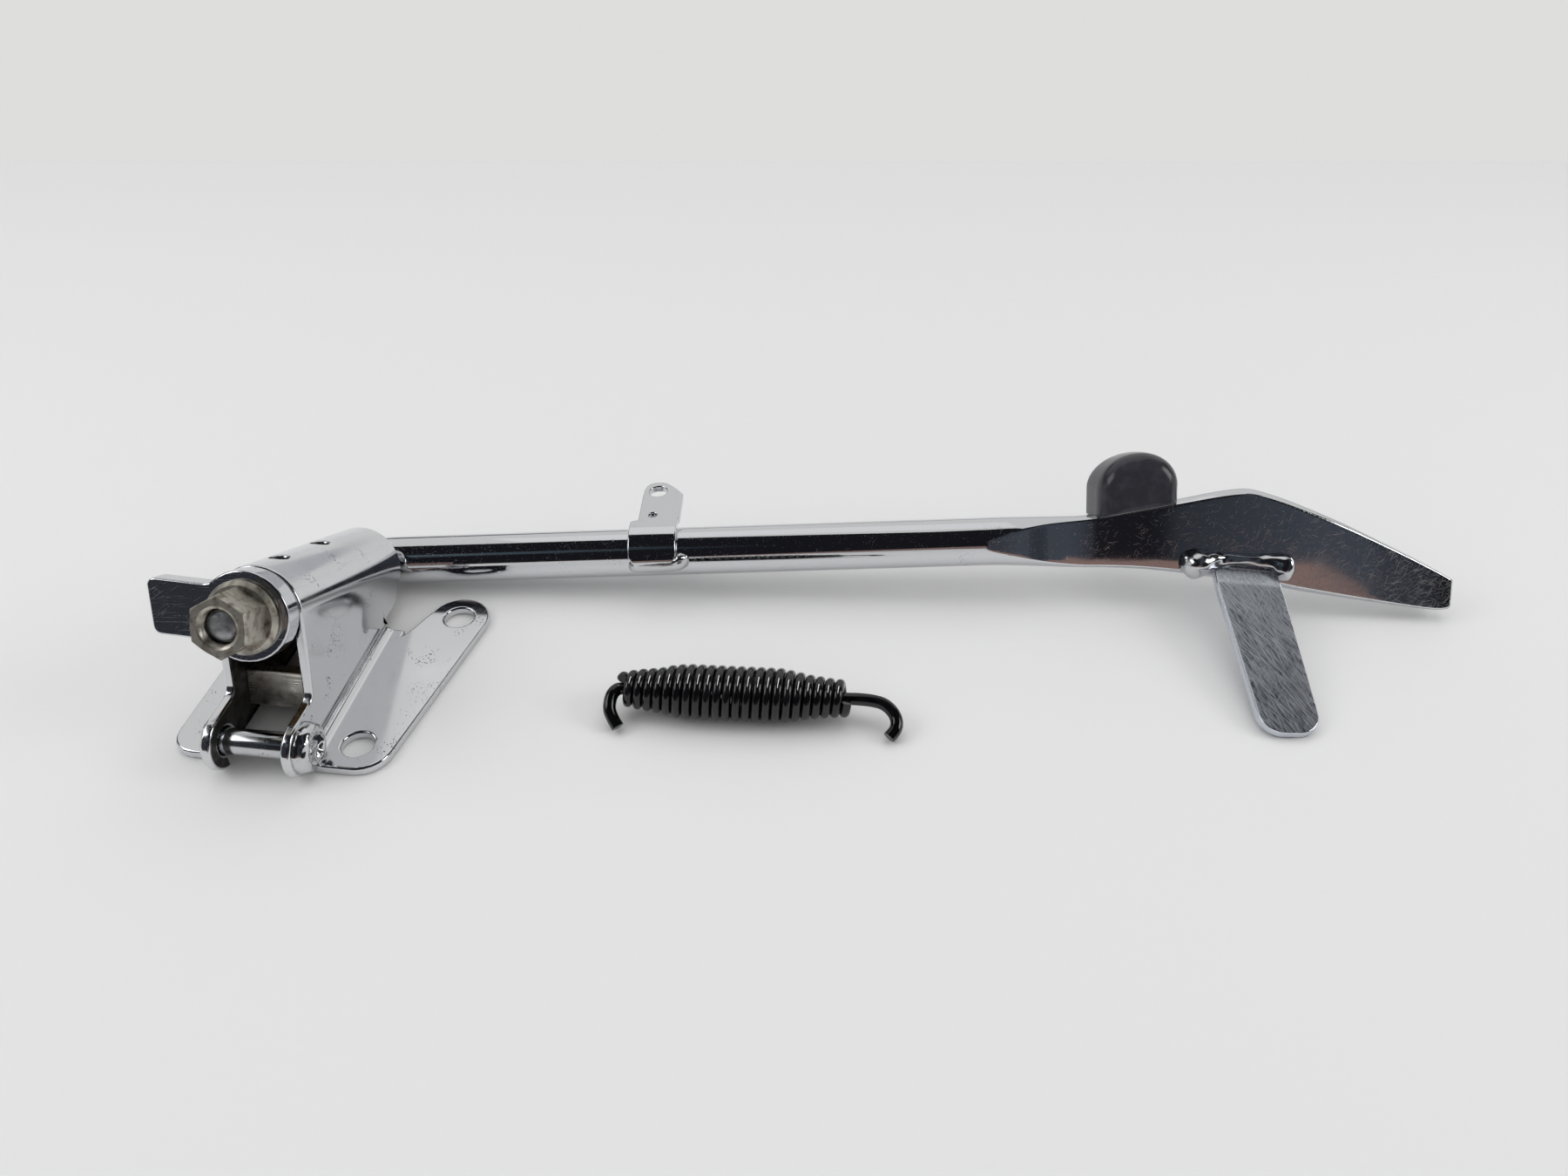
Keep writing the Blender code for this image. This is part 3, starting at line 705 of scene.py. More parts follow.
@dataclass
class Bracket:
    """The folded sheet, its stop block and its anchor pin. Sizes in mm."""

    frames: Frames
    frame: dict
    edge: float = 0.8
    fold_angle: float = 40.0
    ear_at: Pair = (1.8, 8.7)
    half: float = 13.2
    wall: float = 2.5
    inward: float = 0.4
    side: Pairs = ((18.5, 7.6), (27.9, 67.6))
    side_near: float = 20.0
    flange_top: float = 4.0
    rear_hole: Spot = (18.3, 68.8, 6.0)
    block_wider: float = 10.25 / 9.9
    block_edge: float = 0.4
    pin_radius: float = 3.9
    pin_proud: float = 1.3
    # Inset and distance from the end
    pin_end: Pairs = ((0.9, 0.0), (0.2, 0.25), (0.0, 0.8))
    pin_points: int = 48
    pin_angle: float = 50.0
    bead_points: int = 72
    left_bead_share: float = 0.4
    lumps: Pair = (2.4, 0.9)
    bead_steps: int = 3
    # Radius and height over the ear, from the rim to the hollow
    bead: Pairs = (
        (7.5, -0.2), (7.5, 0.8), (7.2, 2.0), (6.6, 2.9), (5.6, 3.6),
        (4.6, 3.8), (3.7, 3.4), (3.0, 2.7), (2.0, 2.3), (1.0, 2.5),
    )  # fmt: skip

    def draw_side(self, shell: Piece) -> None:
        """Draw the right flange's outer side straight from its front corner to its rear lobe.

        Args:
            shell: The folded sheet, in its place.
        """
        place = self.frames.bracket
        back = place.inverted()
        (x0, y0), (x1, y1) = self.side
        hole_x, hole_y, hole_reach = self.rear_hole
        with edit_mode(shell):
            skin = bmesh.from_edit_mesh(shell.data)
            for point in skin.verts:
                spot = back @ point.co / MM
                along = self.side_near < spot.y < y1 - 1.0 and spot.z < self.flange_top
                off_hole = hypot(spot.x - hole_x, spot.y - hole_y) > hole_reach
                if along and off_hole and spot.x > self.side_near:
                    spot.x = x0 + (x1 - x0) * (spot.y - y0) / (y1 - y0)
                    point.co = place @ (spot * MM)
            bmesh.update_edit_mesh(shell.data)

    def build_shell(self) -> None:
        """Round the folded sheet's edges and paint the inner faces of its walls dark, as painted
        shade in the channel.
        """
        shell = solid_copy(self.frame, "bracket_shell", "sheet_bracket")
        self.draw_side(shell)
        round_edges(shell, self.edge, self.fold_angle)
        dress(shell, SHEET_CHROME.build(), Body.BRACKET, Slot.CHROME, "bracket_shell")
        # The inner wall faces take a second, darker material: painted shade inside the channel
        shell.data.materials.append(INSIDE_SHADE_STEEL.build())
        back = self.frames.bracket.inverted()
        turn = back.to_3x3()
        for face in shell.data.polygons:
            spot = back @ face.center / MM
            aside = spot.x - BRACKET_MID
            facing = (turn @ face.normal).x * aside < -self.inward * abs(aside)
            behind_ears = spot.y > self.ear_at[0] + self.bead[0][0]
            within = abs(aside) < self.half - self.wall
            face.material_index = int(facing and behind_ears and within)

    def build_block(self) -> None:
        """Widen the stop block to the walls that hold it and round its edges."""
        block = solid_copy(self.frame, "stop_block", "ground_stop_block")
        place = self.frames.bracket @ Matrix.Translation(Vector((BRACKET_MID * MM, 0.0, 0.0)))
        wider = Matrix.Diagonal(Vector((self.block_wider, 1.0, 1.0, 1.0)))
        put(block, place @ wider @ place.inverted())
        round_edges(block, self.block_edge)
        look = GROUND_STEEL.build(self.frames.bracket.to_3x3())
        dress(block, look, Body.BRACKET, Slot.BARE_STEEL, "stop_block")

    def across(self, profile: Table, count: int, side: int = 1) -> list[Ring]:
        """Spin a profile about the pin's axis.

        Args:
            profile: Rows of a radius and a place along the axis.
            count: Points in each ring.
            side: 1 draws it to the right, -1 to the left.

        Returns:
            The rings in the bracket's frame.
        """
        y, z = self.ear_at
        rings = [polar_ring([r] * count, at) for r, at in profile]
        return [[Vector((BRACKET_MID + side * p.z, y + p.x, z + p.y)) for p in r] for r in rings]

    def build_pin(self) -> None:
        """Draw the anchor pin with its rounded ends."""
        end = self.half + self.pin_proud
        profile = [(self.pin_radius - inset, -end + back) for inset, back in self.pin_end]
        profile += [(r, -at) for r, at in reversed(profile)]
        pin = draw_skin("anchor_pin_rod", self.across(profile, self.pin_points))
        put(pin, self.frames.bracket)
        smooth(pin, self.pin_angle)
        dress(pin, PIN_STEEL.build(), Body.BRACKET, Slot.BARE_STEEL, "anchor_pin")

    def build_beads(self) -> None:
        """Draw the beads that close the pin's ends, each with a swirled hollow."""
        look = WELD_CHROME.build()
        size, height = self.lumps
        for side, name, share in ((1, "right", 1.0), (-1, "left", self.left_bead_share)):
            profile = [(r, self.half + h * share) for r, h in eased(self.bead, self.bead_steps)]
            node = f"anchor_pin_weld_{name}"
            bead = Weld(f"anchor_pin_bead_{name}", Body.BRACKET, node, size, height * share)
            bead.build(self.across(profile, self.bead_points, side), self.frames.bracket, look)

    def build(self) -> None:
        """Build and dress every piece of the bracket."""
        self.build_shell()
        self.build_block()
        self.build_pin()
        self.build_beads()
        bronze = BUSH_BRONZE.build()
        for node in ("front_bush", "rear_bush"):
            self.frame["nodes"][node].material_slots[0].material = bronze


@dataclass
class Leg:
    """The shaft, elbow, rod and blade foot in one bar. Sizes in mm."""

    frames: Frames
    radius: float = ROD_RADIUS
    corner: float = LEG_DOWN
    elbow: float = 9.0
    elbow_steps: int = 28
    plate: float = 6.3
    stud_end: float = 10.9
    # Radius and height over the stud's end
    stud: Pairs = ((1.0, 0.3), (2.5, 0.15), (3.6, -0.1), (4.3, -0.5), (4.75, -1.1))
    rod_at: tuple[float, ...] = (40.0, 80.0, 120.0, 160.0, 190.0)
    edge: float = 0.5
    edge_angle: float = 32.0
    flat_points: int = 9
    edge_points: int = 27
    least_flat: float = 0.1
    foot_steps: int = 4
    foot: Quads = (
        (206.0, 8.0, -8.0, 7.95), (213.0, 8.0, -8.1, 7.2), (220.0, 7.9, -8.5, 6.3),
        (228.0, 7.8, -9.0, 5.1), (238.0, 7.7, -9.6, 4.0), (246.0, 8.5, -9.9, 3.7),
        (256.0, 10.0, -10.6, 3.6), (268.0, 11.8, -12.1, 3.6), (281.0, 14.0, -14.3, 3.6),
        (289.0, 14.9, -15.6, 3.6), (294.0, 14.6, -16.4, 3.6), (301.0, 12.4, -17.6, 3.6),
        (309.0, 9.2, -19.6, 3.6), (324.0, 2.3, -22.5, 3.5), (340.0, -6.0, -25.4, 3.4),
        (350.0, -11.5, -27.0, 3.3), (355.0, -14.4, -27.5, 3.2), (358.2, -16.4, -27.1, 3.0),
        (359.4, -17.4, -26.0, 2.4),
    )  # fmt: skip

    def ways(self) -> tuple[Vector, Vector, Vector]:
        """Find the leg's own directions in the pivot's frame.

        Returns:
            Directions along, across and to the front of the leg.
        """
        lift, toe = radians(LEG_LIFT), radians(LEG_TOE)
        level = cos(toe)
        ahead = Vector((level * cos(lift), level * sin(lift), -sin(toe)))
        across = Vector((-sin(lift), cos(lift), 0.0))
        return ahead, across, ahead.cross(across)

    def section(self, centre: Vector, depth: Vector, width: Vector, size: Sequence[float]) -> Ring:
        """One ring of the bar: an ellipse whose two faces are pressed flat.

        Args:
            centre: Middle of the ring.
            depth: Direction through the blade.
            width: Direction across the blade.
            size: Top edge, bottom edge and half thickness.

        Returns:
            The ring's points.
        """
        top, bottom, half = size
        middle, reach = 0.5 * (top + bottom), 0.5 * (top - bottom)
        cut = max(acos(min(1.0, half / self.radius)), self.least_flat)
        flats, edges = self.flat_points - 1, self.edge_points + 1
        turns = []
        for start in (0.0, pi):
            turns += [start - cut + 2.0 * cut * k / flats for k in range(flats + 1)]
            turns += [start + cut + (pi - 2.0 * cut) * k / edges for k in range(1, edges)]
        ring = []
        for t in turns:
            deep = max(-half, min(half, self.radius * cos(t)))
            ring.append(centre + depth * deep + width * (middle + reach * sin(t)))
        return ring

    def rings(self) -> list[Ring]:
        """All rings from the stud's end to the tip of the foot.

        Returns:
            Rings in mm in the pivot's frame.
        """
        ahead, across, front = self.ways()
        down = -UP
        side = down.cross(across)
        whole = (self.radius, -self.radius, self.radius)
        stud = [(r, self.stud_end + h) for r, h in self.stud] + [(self.stud[-1][0], -self.plate)]
        bar = self.section(Vector(), side, across, whole)
        rings = [[p * (r / self.radius) + UP * h for p in bar] for r, h in stud]
        bend = acos(down.dot(ahead))
        lead = self.elbow * tan(0.5 * bend)
        for height in (self.plate, 0.5 * self.corner, self.corner - lead):
            rings.append(self.section(down * height, side, across, whole))
        hub = down * (self.corner - lead) + side * self.elbow
        for k in range(1, self.elbow_steps + 1):
            turn = bend * k / self.elbow_steps
            outward = -side * cos(turn) + down * sin(turn)
            rings.append(self.section(hub + outward * self.elbow, -outward, across, whole))
        start = down * self.corner
        for x, *size in [(x, *whole) for x in self.rod_at] + eased(self.foot, self.foot_steps):
            rings.append(self.section(start + ahead * x, front, across, size))
        return rings

    def build(self) -> None:
        """Draw the bar, round the blade's edges and leave the stud's end bare."""
        bar = draw_skin("leg_bar", self.rings())
        put(bar, self.frames.pivot)
        round_edges(bar, self.edge, self.edge_angle)
        look = LEG_CHROME.build(self.frames.leg.to_3x3())
        dress(bar, look, Body.LEG, Slot.CHROME, "leg_rod")
        bar.data.materials.append(STUD_STEEL.build())
        back = self.frames.pivot.inverted()
        for face in bar.data.polygons:
            face.material_index = int((back @ face.center).z > 0.0)


@dataclass
class PivotStack:
    """The stop plate and the flange nut on the stud. Sizes in mm."""

    frames: Frames
    frame: dict
    plate_edge: float = 0.6
    gap: float = 0.3
    nut_angle: float = 28.0
    nut: Spots = (
        (10.3, 0.0, 0.0), (10.6, 0.3, 0.0), (10.6, 0.9, 0.0), (10.3, 1.3, 0.0),
        (9.422134, 2.2, 0.0), (7.95, 2.3, 1.0), (7.9, 2.7, 1.0), (7.9, 11.5, 1.0),
        (7.84, 12.0, 0.84), (7.65, 12.5, 0.62), (6.05, 12.5, 0.0), (5.65, 12.2, 0.0),
    )  # fmt: skip
    bore: float = 5.05
    bore_low: Pair = (7.3, 0.0)
    thread: Pair = (12.0, 7.5)
    thread_deep: float = 0.5
    thread_pitch: float = 1.25
    thread_rings: int = 8
    count: int = 96

    def nut_ring(self, size: float, height: float, hexed: float) -> list[Vector]:
        """One ring of the nut.

        Args:
            size: Half its width across the flats.
            height: Its height over the nut's foot.
            hexed: 0 makes it round, 1 six-sided.

        Returns:
            The ring's points.
        """
        sixth = pi / 3.0
        turns = [2.0 * pi * k / self.count for k in range(self.count)]
        offs = [(turn + 0.5 * sixth) % sixth - 0.5 * sixth for turn in turns]
        radii = [size * (1.0 + hexed * (1.0 / cos(off) - 1.0)) for off in offs]
        return polar_ring(radii, self.gap + height)

    def thread_ring(self, height: float) -> list[Vector]:
        """One ring of the bore, where the thread's ridge winds past.

        Args:
            height: Its height over the nut's foot.

        Returns:
            The ring's points.
        """
        turns = [k / self.count for k in range(self.count)]
        phases = [(height / self.thread_pitch - turn) % 1.0 for turn in turns]
        radii = [self.bore + self.thread_deep * abs(2.0 * phase - 1.0) for phase in phases]
        return polar_ring(radii, self.gap + height)

    def build_nut(self) -> None:
        """Draw the nut with its flange, chamfers and threaded bore."""
        rings = [self.nut_ring(*row) for row in self.nut]
        height, low = self.thread
        while height > low:
            rings.append(self.thread_ring(height))
            height -= self.thread_pitch / self.thread_rings
        rings += [self.nut_ring(self.bore, height, 0.0) for height in self.bore_low]
        nut = draw_skin("flange_nut_body", rings, loop=True)
        put(nut, self.frames.pivot)
        smooth_flat(nut, self.nut_angle)
        dress(nut, NUT_ZINC.build(), Body.LEG, Slot.ZINC_NUT, "flange_nut")

    def build(self) -> None:
        """Build and dress the stop plate and the nut."""
        plate = solid_copy(self.frame, "stop_plate", "stop_plate_body")
        round_edges(plate, self.plate_edge)
        look = PLATE_CHROME.build(self.frames.pivot.to_3x3())
        dress(plate, look, Body.LEG, Slot.CHROME, "stop_plate")
        self.build_nut()


@dataclass
class Bumper:
    """The rubber bumper on the foot's top edge. Sizes in mm."""

    frames: Frames
    frame: dict
    mid: float = 256.0
    base: Pair = (7.3, 11.2)
    base_span: float = 24.8
    base_points: int = 16
    crown_points: int = 48
    shoulder: float = 16.5
    skew: float = 0.9
    edge: float = 0.5
    edge_angle: float = 45.0
    slice_steps: int = 3
    slices: Quads = (
        (-8.5, 11.4, 24.6, 1.0), (-8.35, 12.6, 25.8, 0.55), (-7.9, 13.6, 26.8, 0.2),
        (-7.0, 14.2, 27.4, 0.0), (0.0, 13.3, 28.0, 0.0), (3.0, 12.9, 28.0, 0.0),
        (5.0, 12.3, 27.5, 0.1), (6.5, 11.3, 26.6, 0.3), (7.6, 9.8, 25.2, 0.7),
        (8.3, 7.8, 23.2, 1.3), (8.6, 5.4, 20.8, 2.2),
    )  # fmt: skip

    def dome(self, depth: float, half: float, top: float, inset: float) -> list[Vector]:
        """Front view of one slice of the bumper.

        Args:
            depth: Where the slice lies.
            half: Half its width.
            top: Height of its crown.
            inset: How far its base is drawn up.

        Returns:
            The slice's points.
        """
        low, high = self.base
        slope = (high - low) / self.base_span
        points = []
        for k in range(self.base_points):
            x = -half + 2.0 * half * k / (self.base_points - 1)
            points.append((x, low + slope * (x + 0.5 * self.base_span) + inset))
        for k in range(self.crown_points):
            turn = pi * k / (self.crown_points - 1)
            rise = sin(turn)
            x = half * cos(turn) + self.skew * rise
            points.append((x, self.shoulder + (top - self.shoulder) * rise))
        return [Vector((self.mid + a, b, depth)) for a, b in points]

    def build(self) -> None:
        """Draw and dress the bumper, and dress its stud."""
        slices = eased(self.slices, self.slice_steps)
        bumper = draw_skin("moulded_bumper", [self.dome(*row) for row in slices])
        put(bumper, self.frames.leg)
        round_edges(bumper, self.edge, self.edge_angle)
        dress(bumper, BUMPER_RUBBER.build(), Body.LEG, Slot.BLACK_RUBBER, "bumper")
        self.frame["nodes"]["bumper_stud"].material_slots[0].material = STUD_STEEL.build()


@dataclass
class SpringTab:
    """The strap on the rod that takes the spring, and its weld. Sizes in mm."""

    frames: Frames
    frame: dict
    edge: float = 0.5
    edge_angle: float = 40.0
    tilt: float = 26.2
    sunk: float = 0.6
    crown_points: int = 24
    under_points: int = 8
    crown_lean: float = 0.6
    crown_full: float = 0.7
    fillet_steps: int = 6
    weld: Weld = Weld("spring_tab_weld_bead", Body.LEG, "spring_tab_weld", 3.0, 0.35)
    fillet: Quads = (
        (88.2, 0.2, 82.0, 98.0), (89.0, 1.6, 74.0, 104.0), (90.6, 2.7, 68.0, 108.0),
        (97.0, 2.9, 66.0, 110.0), (103.2, 2.9, 64.0, 109.0), (105.4, 3.1, 56.0, 107.0),
        (107.0, 2.4, 58.0, 101.0), (108.2, 1.2, 63.0, 94.0), (108.7, 0.2, 70.0, 86.0),
    )  # fmt: skip

    def bead_ring(self, x: float, height: float, high: float, low: float) -> list[Vector]:
        """One ring of the fillet, with its underside sunk in the rod.

        Args:
            x: Where it lies along the rod.
            height: How far it stands off the rod.
            high: Degrees about the rod where it starts.
            low: Degrees where it ends.

        Returns:
            The ring's points.
        """
        tilt = radians(self.tilt)
        up = Vector((0.0, cos(tilt), sin(tilt)))
        front = Vector((0.0, -sin(tilt), cos(tilt)))
        crown, under = self.crown_points, self.under_points
        ring = []
        for k in range(crown + under):
            share = k / crown if k <= crown else (crown + under - k) / under
            turn = radians(high + (low - high) * share)
            rise = 0.0
            if k <= crown:
                rise = sin(pi * share**self.crown_lean) ** self.crown_full
            reach = ROD_RADIUS - self.sunk + (height + self.sunk) * rise
            spot = (up * cos(turn) + front * sin(turn)) * reach
            ring.append(spot + Vector((x, 0.0, 0.0)))
        return ring

    def build(self) -> None:
        """Round the strap's edges and add the fillet that joins it to the rod."""
        strap = solid_copy(self.frame, "spring_tab", "spring_strap")
        round_edges(strap, self.edge, self.edge_angle)
        look = LEG_CHROME.build(self.frames.leg.to_3x3())
        dress(strap, look, Body.LEG, Slot.CHROME, "spring_tab")
        rings = [self.bead_ring(*row) for row in eased(self.fillet, self.fillet_steps)]
        self.weld.build(rings, self.frames.leg, WELD_CHROME.build())


@dataclass
class KickTab:
    """The bent tab on the foot's lower edge and the weld along its root. Sizes in mm."""

    frames: Frames
    at: Spot = (290.9, -12.0, 3.9)
    turn: float = 7.2
    half: Pair = (10.5, 9.3)
    lean: float = 5.2
    thick: float = 3.0
    # Straight run, then the bend's radius and degrees
    bends: Spots = ((0.0, 3.0, 35.0), (4.5, 20.0, 5.8))
    steps: int = 12
    lead: float = 4.0
    straight: float = 54.3
    corner: float = 7.0
    sunk: float = 0.6
    edge: float = 0.6
    edge_angle: float = 40.0
    outline: Pairs = ((-1, -1), (0, -1), (1, -1), (1, 1), (0, 1), (-1, 1))
    weld: Weld = Weld("kick_tab_weld_bead", Body.LEG, "kick_tab_weld", 3.6, 1.3)
    bead_points: int = 32
    bead_rise: float = 0.35
    bead_steps: int = 4
    # Place along the root, radius, and place up the blade
    bead: Spots = (
        (-21.0, 1.2, 1.2), (-20.2, 2.9, 1.1), (-18.2, 4.2, 1.0), (-15.6, 4.7, 1.1),
        (-12.8, 4.2, 1.7), (-10.4, 3.2, 2.7), (-7.0, 2.6, 3.3), (0.0, 2.3, 3.5),
        (6.0, 2.6, 3.5), (8.8, 3.3, 3.3), (11.2, 4.2, 2.8), (13.4, 4.3, 2.6),
        (15.2, 3.0, 2.5), (16.0, 1.3, 2.5),
    )  # fmt: skip

    def ways(self) -> tuple[Vector, Vector]:
        """Directions across the tab and up the blade, in the leg's frame."""
        c, s = cos(radians(self.turn)), sin(radians(self.turn))
        return Vector((c, -s, 0.0)), Vector((s, c, 0.0))

    def end_ways(self) -> tuple[Vector, Vector, Vector]:
        """Find the directions of the tab past its bends, where it leans aside.

        Returns:
            Directions across it, along it and out of its face, in the leg's frame.
        """
        across, upward = self.ways()
        bend, lean = radians(sum(row[2] for row in self.bends)), radians(self.lean)
        heading = UP * cos(bend) - upward * sin(bend)
        ahead = heading * cos(lean) + across * sin(lean)
        wide = across * cos(lean) - heading * sin(lean)
        return wide, ahead, upward * cos(bend) + UP * sin(bend)

    def course(self) -> list[tuple[Vector, Vector, Vector]]:
        """Follow the tab from its root round its bends to its rounded end.

        Returns:
            Rows of its middle, half its width and the way out of its face.
        """
        across, upward = self.ways()
        wide, ahead, face = self.end_ways()
        half, end_half = self.half
        at, angle = Vector(self.at), 0.0
        rows = [(at - UP * self.sunk, across * half, upward)]
        for run, radius, degrees in self.bends:
            at = at + (UP * cos(angle) - upward * sin(angle)) * run
            out = upward * cos(angle) + UP * sin(angle)
            hub = at - out * radius
            rows.append((at, across * half, out))
            for k in range(1, self.steps + 1):
                turned = angle + radians(degrees) * k / self.steps
                out = upward * cos(turned) + UP * sin(turned)
                at = hub + out * radius
                rows.append((at, across * half, out))
            angle = turned
        rows.append((at + ahead * self.lead, wide * half, face))
        for k in range(self.steps + 1):
            turn = 0.5 * pi * k / self.steps
            reach = self.straight - self.corner * (1.0 - sin(turn))
            narrow = end_half - self.corner * (1.0 - cos(turn))
            rows.append((at + ahead * reach, wide * narrow, face))
        return rows

    def build_tab(self) -> None:
        """Draw the tab along its course and round its edges."""
        rings = []
        for at, aside, out in self.course():
            deep = out * (0.5 * self.thick)
            rings.append([at + aside * a + deep * s for a, s in self.outline])
        tab = draw_skin("kick_tab_body", rings)
        put(tab, self.frames.leg)
        round_edges(tab, self.edge, self.edge_angle)
        lay = self.frames.leg.to_3x3() @ Matrix(self.end_ways()).transposed()
        dress(tab, TAB_CHROME.build(lay), Body.LEG, Slot.SATIN_CHROME, "kick_tab")

    def build(self) -> None:
        """Build and dress the tab and the lumpy bead along its root."""
        self.build_tab()
        across, upward = self.ways()
        root = Vector(self.at) - UP * self.sunk
        rings = []
        for a, size, above in eased(self.bead, self.bead_steps):
            middle = root + across * a + UP * (self.bead_rise * size) + upward * above
            ring = polar_ring([size] * self.bead_points, 0.0)
            rings.append([middle + UP * p.x + upward * p.y for p in ring])
        self.weld.build(rings, self.frames.leg, WELD_CHROME.build())


@dataclass
class ReturnSpring:
    """The barrel-shaped coil and its two swivel hooks. Sizes in mm."""

    start: Spot = (67.4, -11.0, 8.45)
    end: Spot = (134.76, -15.35, 8.45)
    wire: float = 1.46
    turns: float = 22.8
    first_angle: float = 100.0
    points: int = 30
    wire_sides: int = 4
    wire_angle: float = 50.0
    # Turns from the start and outer radius
    radii: Pairs = (
        (0.0, 5.2), (1.0, 5.8), (2.0, 6.3), (4.0, 7.0), (5.5, 8.1), (7.0, 8.4),
        (16.0, 8.4), (17.5, 7.7), (19.0, 6.8), (21.0, 6.1), (22.8, 5.7),
    )  # fmt: skip
    hook_wire: float = 1.95
    hook_steps: int = 5
    hook_left: Spots = (
        (65.6, -11.5, 8.4), (64.5, -12.9, 8.0), (63.9, -14.9, 6.9),
        (63.9, -17.0, 5.4), (65.0, -19.0, 3.6), (66.5, -20.9, 2.1),
    )  # fmt: skip
    hook_right: Spots = (
        (138.0, -15.5, 8.4), (142.0, -15.7, 8.0), (145.6, -16.3, 7.2), (148.2, -18.2, 6.0),
        (149.4, -20.6, 4.6), (149.0, -23.0, 3.3), (147.0, -25.2, 2.1),
    )  # fmt: skip
    # Distance into the coil and radius of the wire
    inside: Pairs = ((9.0, 1.8), (8.4, 2.6), (6.8, 2.6), (6.2, 1.9), (3.0, 1.9), (-0.6, 1.9))

    def tube(self, name: str, points: Sequence[Vector], radii: Sequence[float]) -> Piece:
        """Draw one wire through points and make it a mesh.

        Args:
            name: The piece's name.
            points: Its line in mm.
            radii: Its radius at each point in mm.

        Returns:
            The mesh object.
        """
        curve = bpy.data.curves.new(name, "CURVE")
        curve.dimensions = "3D"
        curve.bevel_depth = max(radii) * MM
        curve.bevel_resolution = self.wire_sides
        curve.use_fill_caps = True
        curve.twist_mode = "MINIMUM"
        line = curve.splines.new("POLY")
        line.points.add(len(points) - 1)
        for spot, point, radius in zip(line.points, points, radii):
            spot.co = (*(point * MM), 1.0)
            spot.radius = radius / max(radii)
        made = bpy.data.objects.new(name, curve)
        bpy.context.scene.collection.objects.link(made)
        select_only(made)
        bpy.ops.object.convert(target="MESH")
        made = bpy.context.active_object
        with edit_mode(made):
            bpy.ops.mesh.select_all(action="SELECT")
            bpy.ops.mesh.remove_doubles(threshold=WIRE_MERGE * MM)
            bpy.ops.mesh.normals_make_consistent(inside=False)
        smooth(made, self.wire_angle)
        return made

    def build_coil(self, look: Look) -> Piece:
        """Wind the coil.

        Args:
            look: Its material.

        Returns:
            The coil.
        """
        start, line = Vector(self.start), Vector(self.end) - Vector(self.start)
        across = line.normalized().cross(UP)
        points = []
        for k in range(round(self.turns * self.points) + 1):
            turns = k / self.points
            angle = 2.0 * pi * turns + radians(self.first_angle)
            side = across * cos(angle) + UP * sin(angle)
            radius = between(self.radii, turns)[0] - self.wire
            points.append(start + line * (turns / self.turns) + side * radius)
        coil = self.tube("spring_coil", points, [self.wire] * len(points))
        dress(coil, look, Body.BRACKET, Slot.BLACK_GLOSS, "return_spring")
        return coil

    def build(self) -> Piece:
        """Build and dress the coil and both hooks.

        Returns:
            The coil.
        """
        look = SPRING_BLACK.build()
        coil = self.build_coil(look)
        start, end = Vector(self.start), Vector(self.end)
        way = (end - start).normalized()
        for name, at, inward, free, body in (
            ("left", start, way, self.hook_left, Body.HOOK_LEFT),
            ("right", end, -way, self.hook_right, Body.HOOK_RIGHT),
        ):
            rows = [(*(at + inward * d), r) for d, r in self.inside]
            rows += [(*p, self.hook_wire) for p in free]
            line = eased(rows, self.hook_steps)
            middles, radii = [Vector(row[:3]) for row in line], [row[3] for row in line]
            hook = self.tube(f"swivel_hook_{name}", middles, radii)
            dress(hook, look, body, Slot.BLACK_GLOSS, f"spring_hook_{name}")
        return coil


@dataclass(frozen=True)
class Card:
    """A studio card that only reflections see, on a drum about the leg's line.

    Each row holds a place aside by the drum's radius, the lowest and the highest degrees there,
    and a colour. The card runs from row to row.
    """

    name: str
    radius: float
    rows: tuple[tuple[float, float, float, str], ...]
    strength: float = 1.0
    steps_across: int = 6
    steps_round: int = 48

    def build(self, middle: Vector) -> None:
        """Bend a grid to the drum and tint it from row to row.

        Args:
            middle: Where the drum's axis passes, in metres.
        """
        bpy.ops.object.select_all(action="DESELECT")
        steps = self.steps_across * len(self.rows)
        bpy.ops.mesh.primitive_grid_add(
            x_subdivisions=steps, y_subdivisions=self.steps_round, size=2.0
        )
        card = bpy.context.active_object
        card.name = self.name
        tint = card.data.attributes.new("tint", "FLOAT_COLOR", "POINT")
        table = [(k, *row[:3], *linear(row[3])) for k, row in enumerate(self.rows)]
        for point in card.data.vertices:
            along = 0.5 * (point.co.x + 1.0) * (len(table) - 1)
            aside, low, high, *colour = between(table, along)
            angle = radians(low + (high - low) * 0.5 * (point.co.y + 1.0))
            round_way = Vector((aside, -cos(angle), sin(angle)))
            point.co = middle + round_way * self.radius
            tint.data[point.index].color = colour
        look = bpy.data.materials.new(self.name)
        look.use_nodes = True
        tree = look.node_tree
        tree.nodes.clear()
        painted = add_node(tree, "Attribute", out="Color", attribute_name="tint")
        glow = add_node(tree, "Emission", {"Color": painted, "Strength": self.strength})
        add_node(tree, "OutputMaterial", {"Surface": glow})
        card.data.materials.append(look)
        card.visible_camera = False
        card.visible_diffuse = False
        card.visible_shadow = False


@dataclass(frozen=True)
class Lamp:
    """One soft box: its place and size in metres, its power, and whether metal mirrors it."""

    name: str
    at: Spot
    size: Pair
    power: float
    mirrored: bool

    def build(self, target: Vector) -> Piece:
        """Hang the lamp and point it at the target.

        Args:
            target: What it points at, in metres.

        Returns:
            The lamp.
        """
        data = bpy.data.lights.new(self.name, "AREA")
        data.shape = "RECTANGLE"
        data.size, data.size_y = self.size
        data.energy = self.power
        lamp = bpy.data.objects.new(self.name, data)
        bpy.context.scene.collection.objects.link(lamp)
        lamp.location = self.at
        lamp.rotation_euler = (target - Vector(self.at)).to_track_quat("-Z", "Y").to_euler()
        lamp.visible_camera = False
        lamp.visible_glossy = self.mirrored
        return lamp


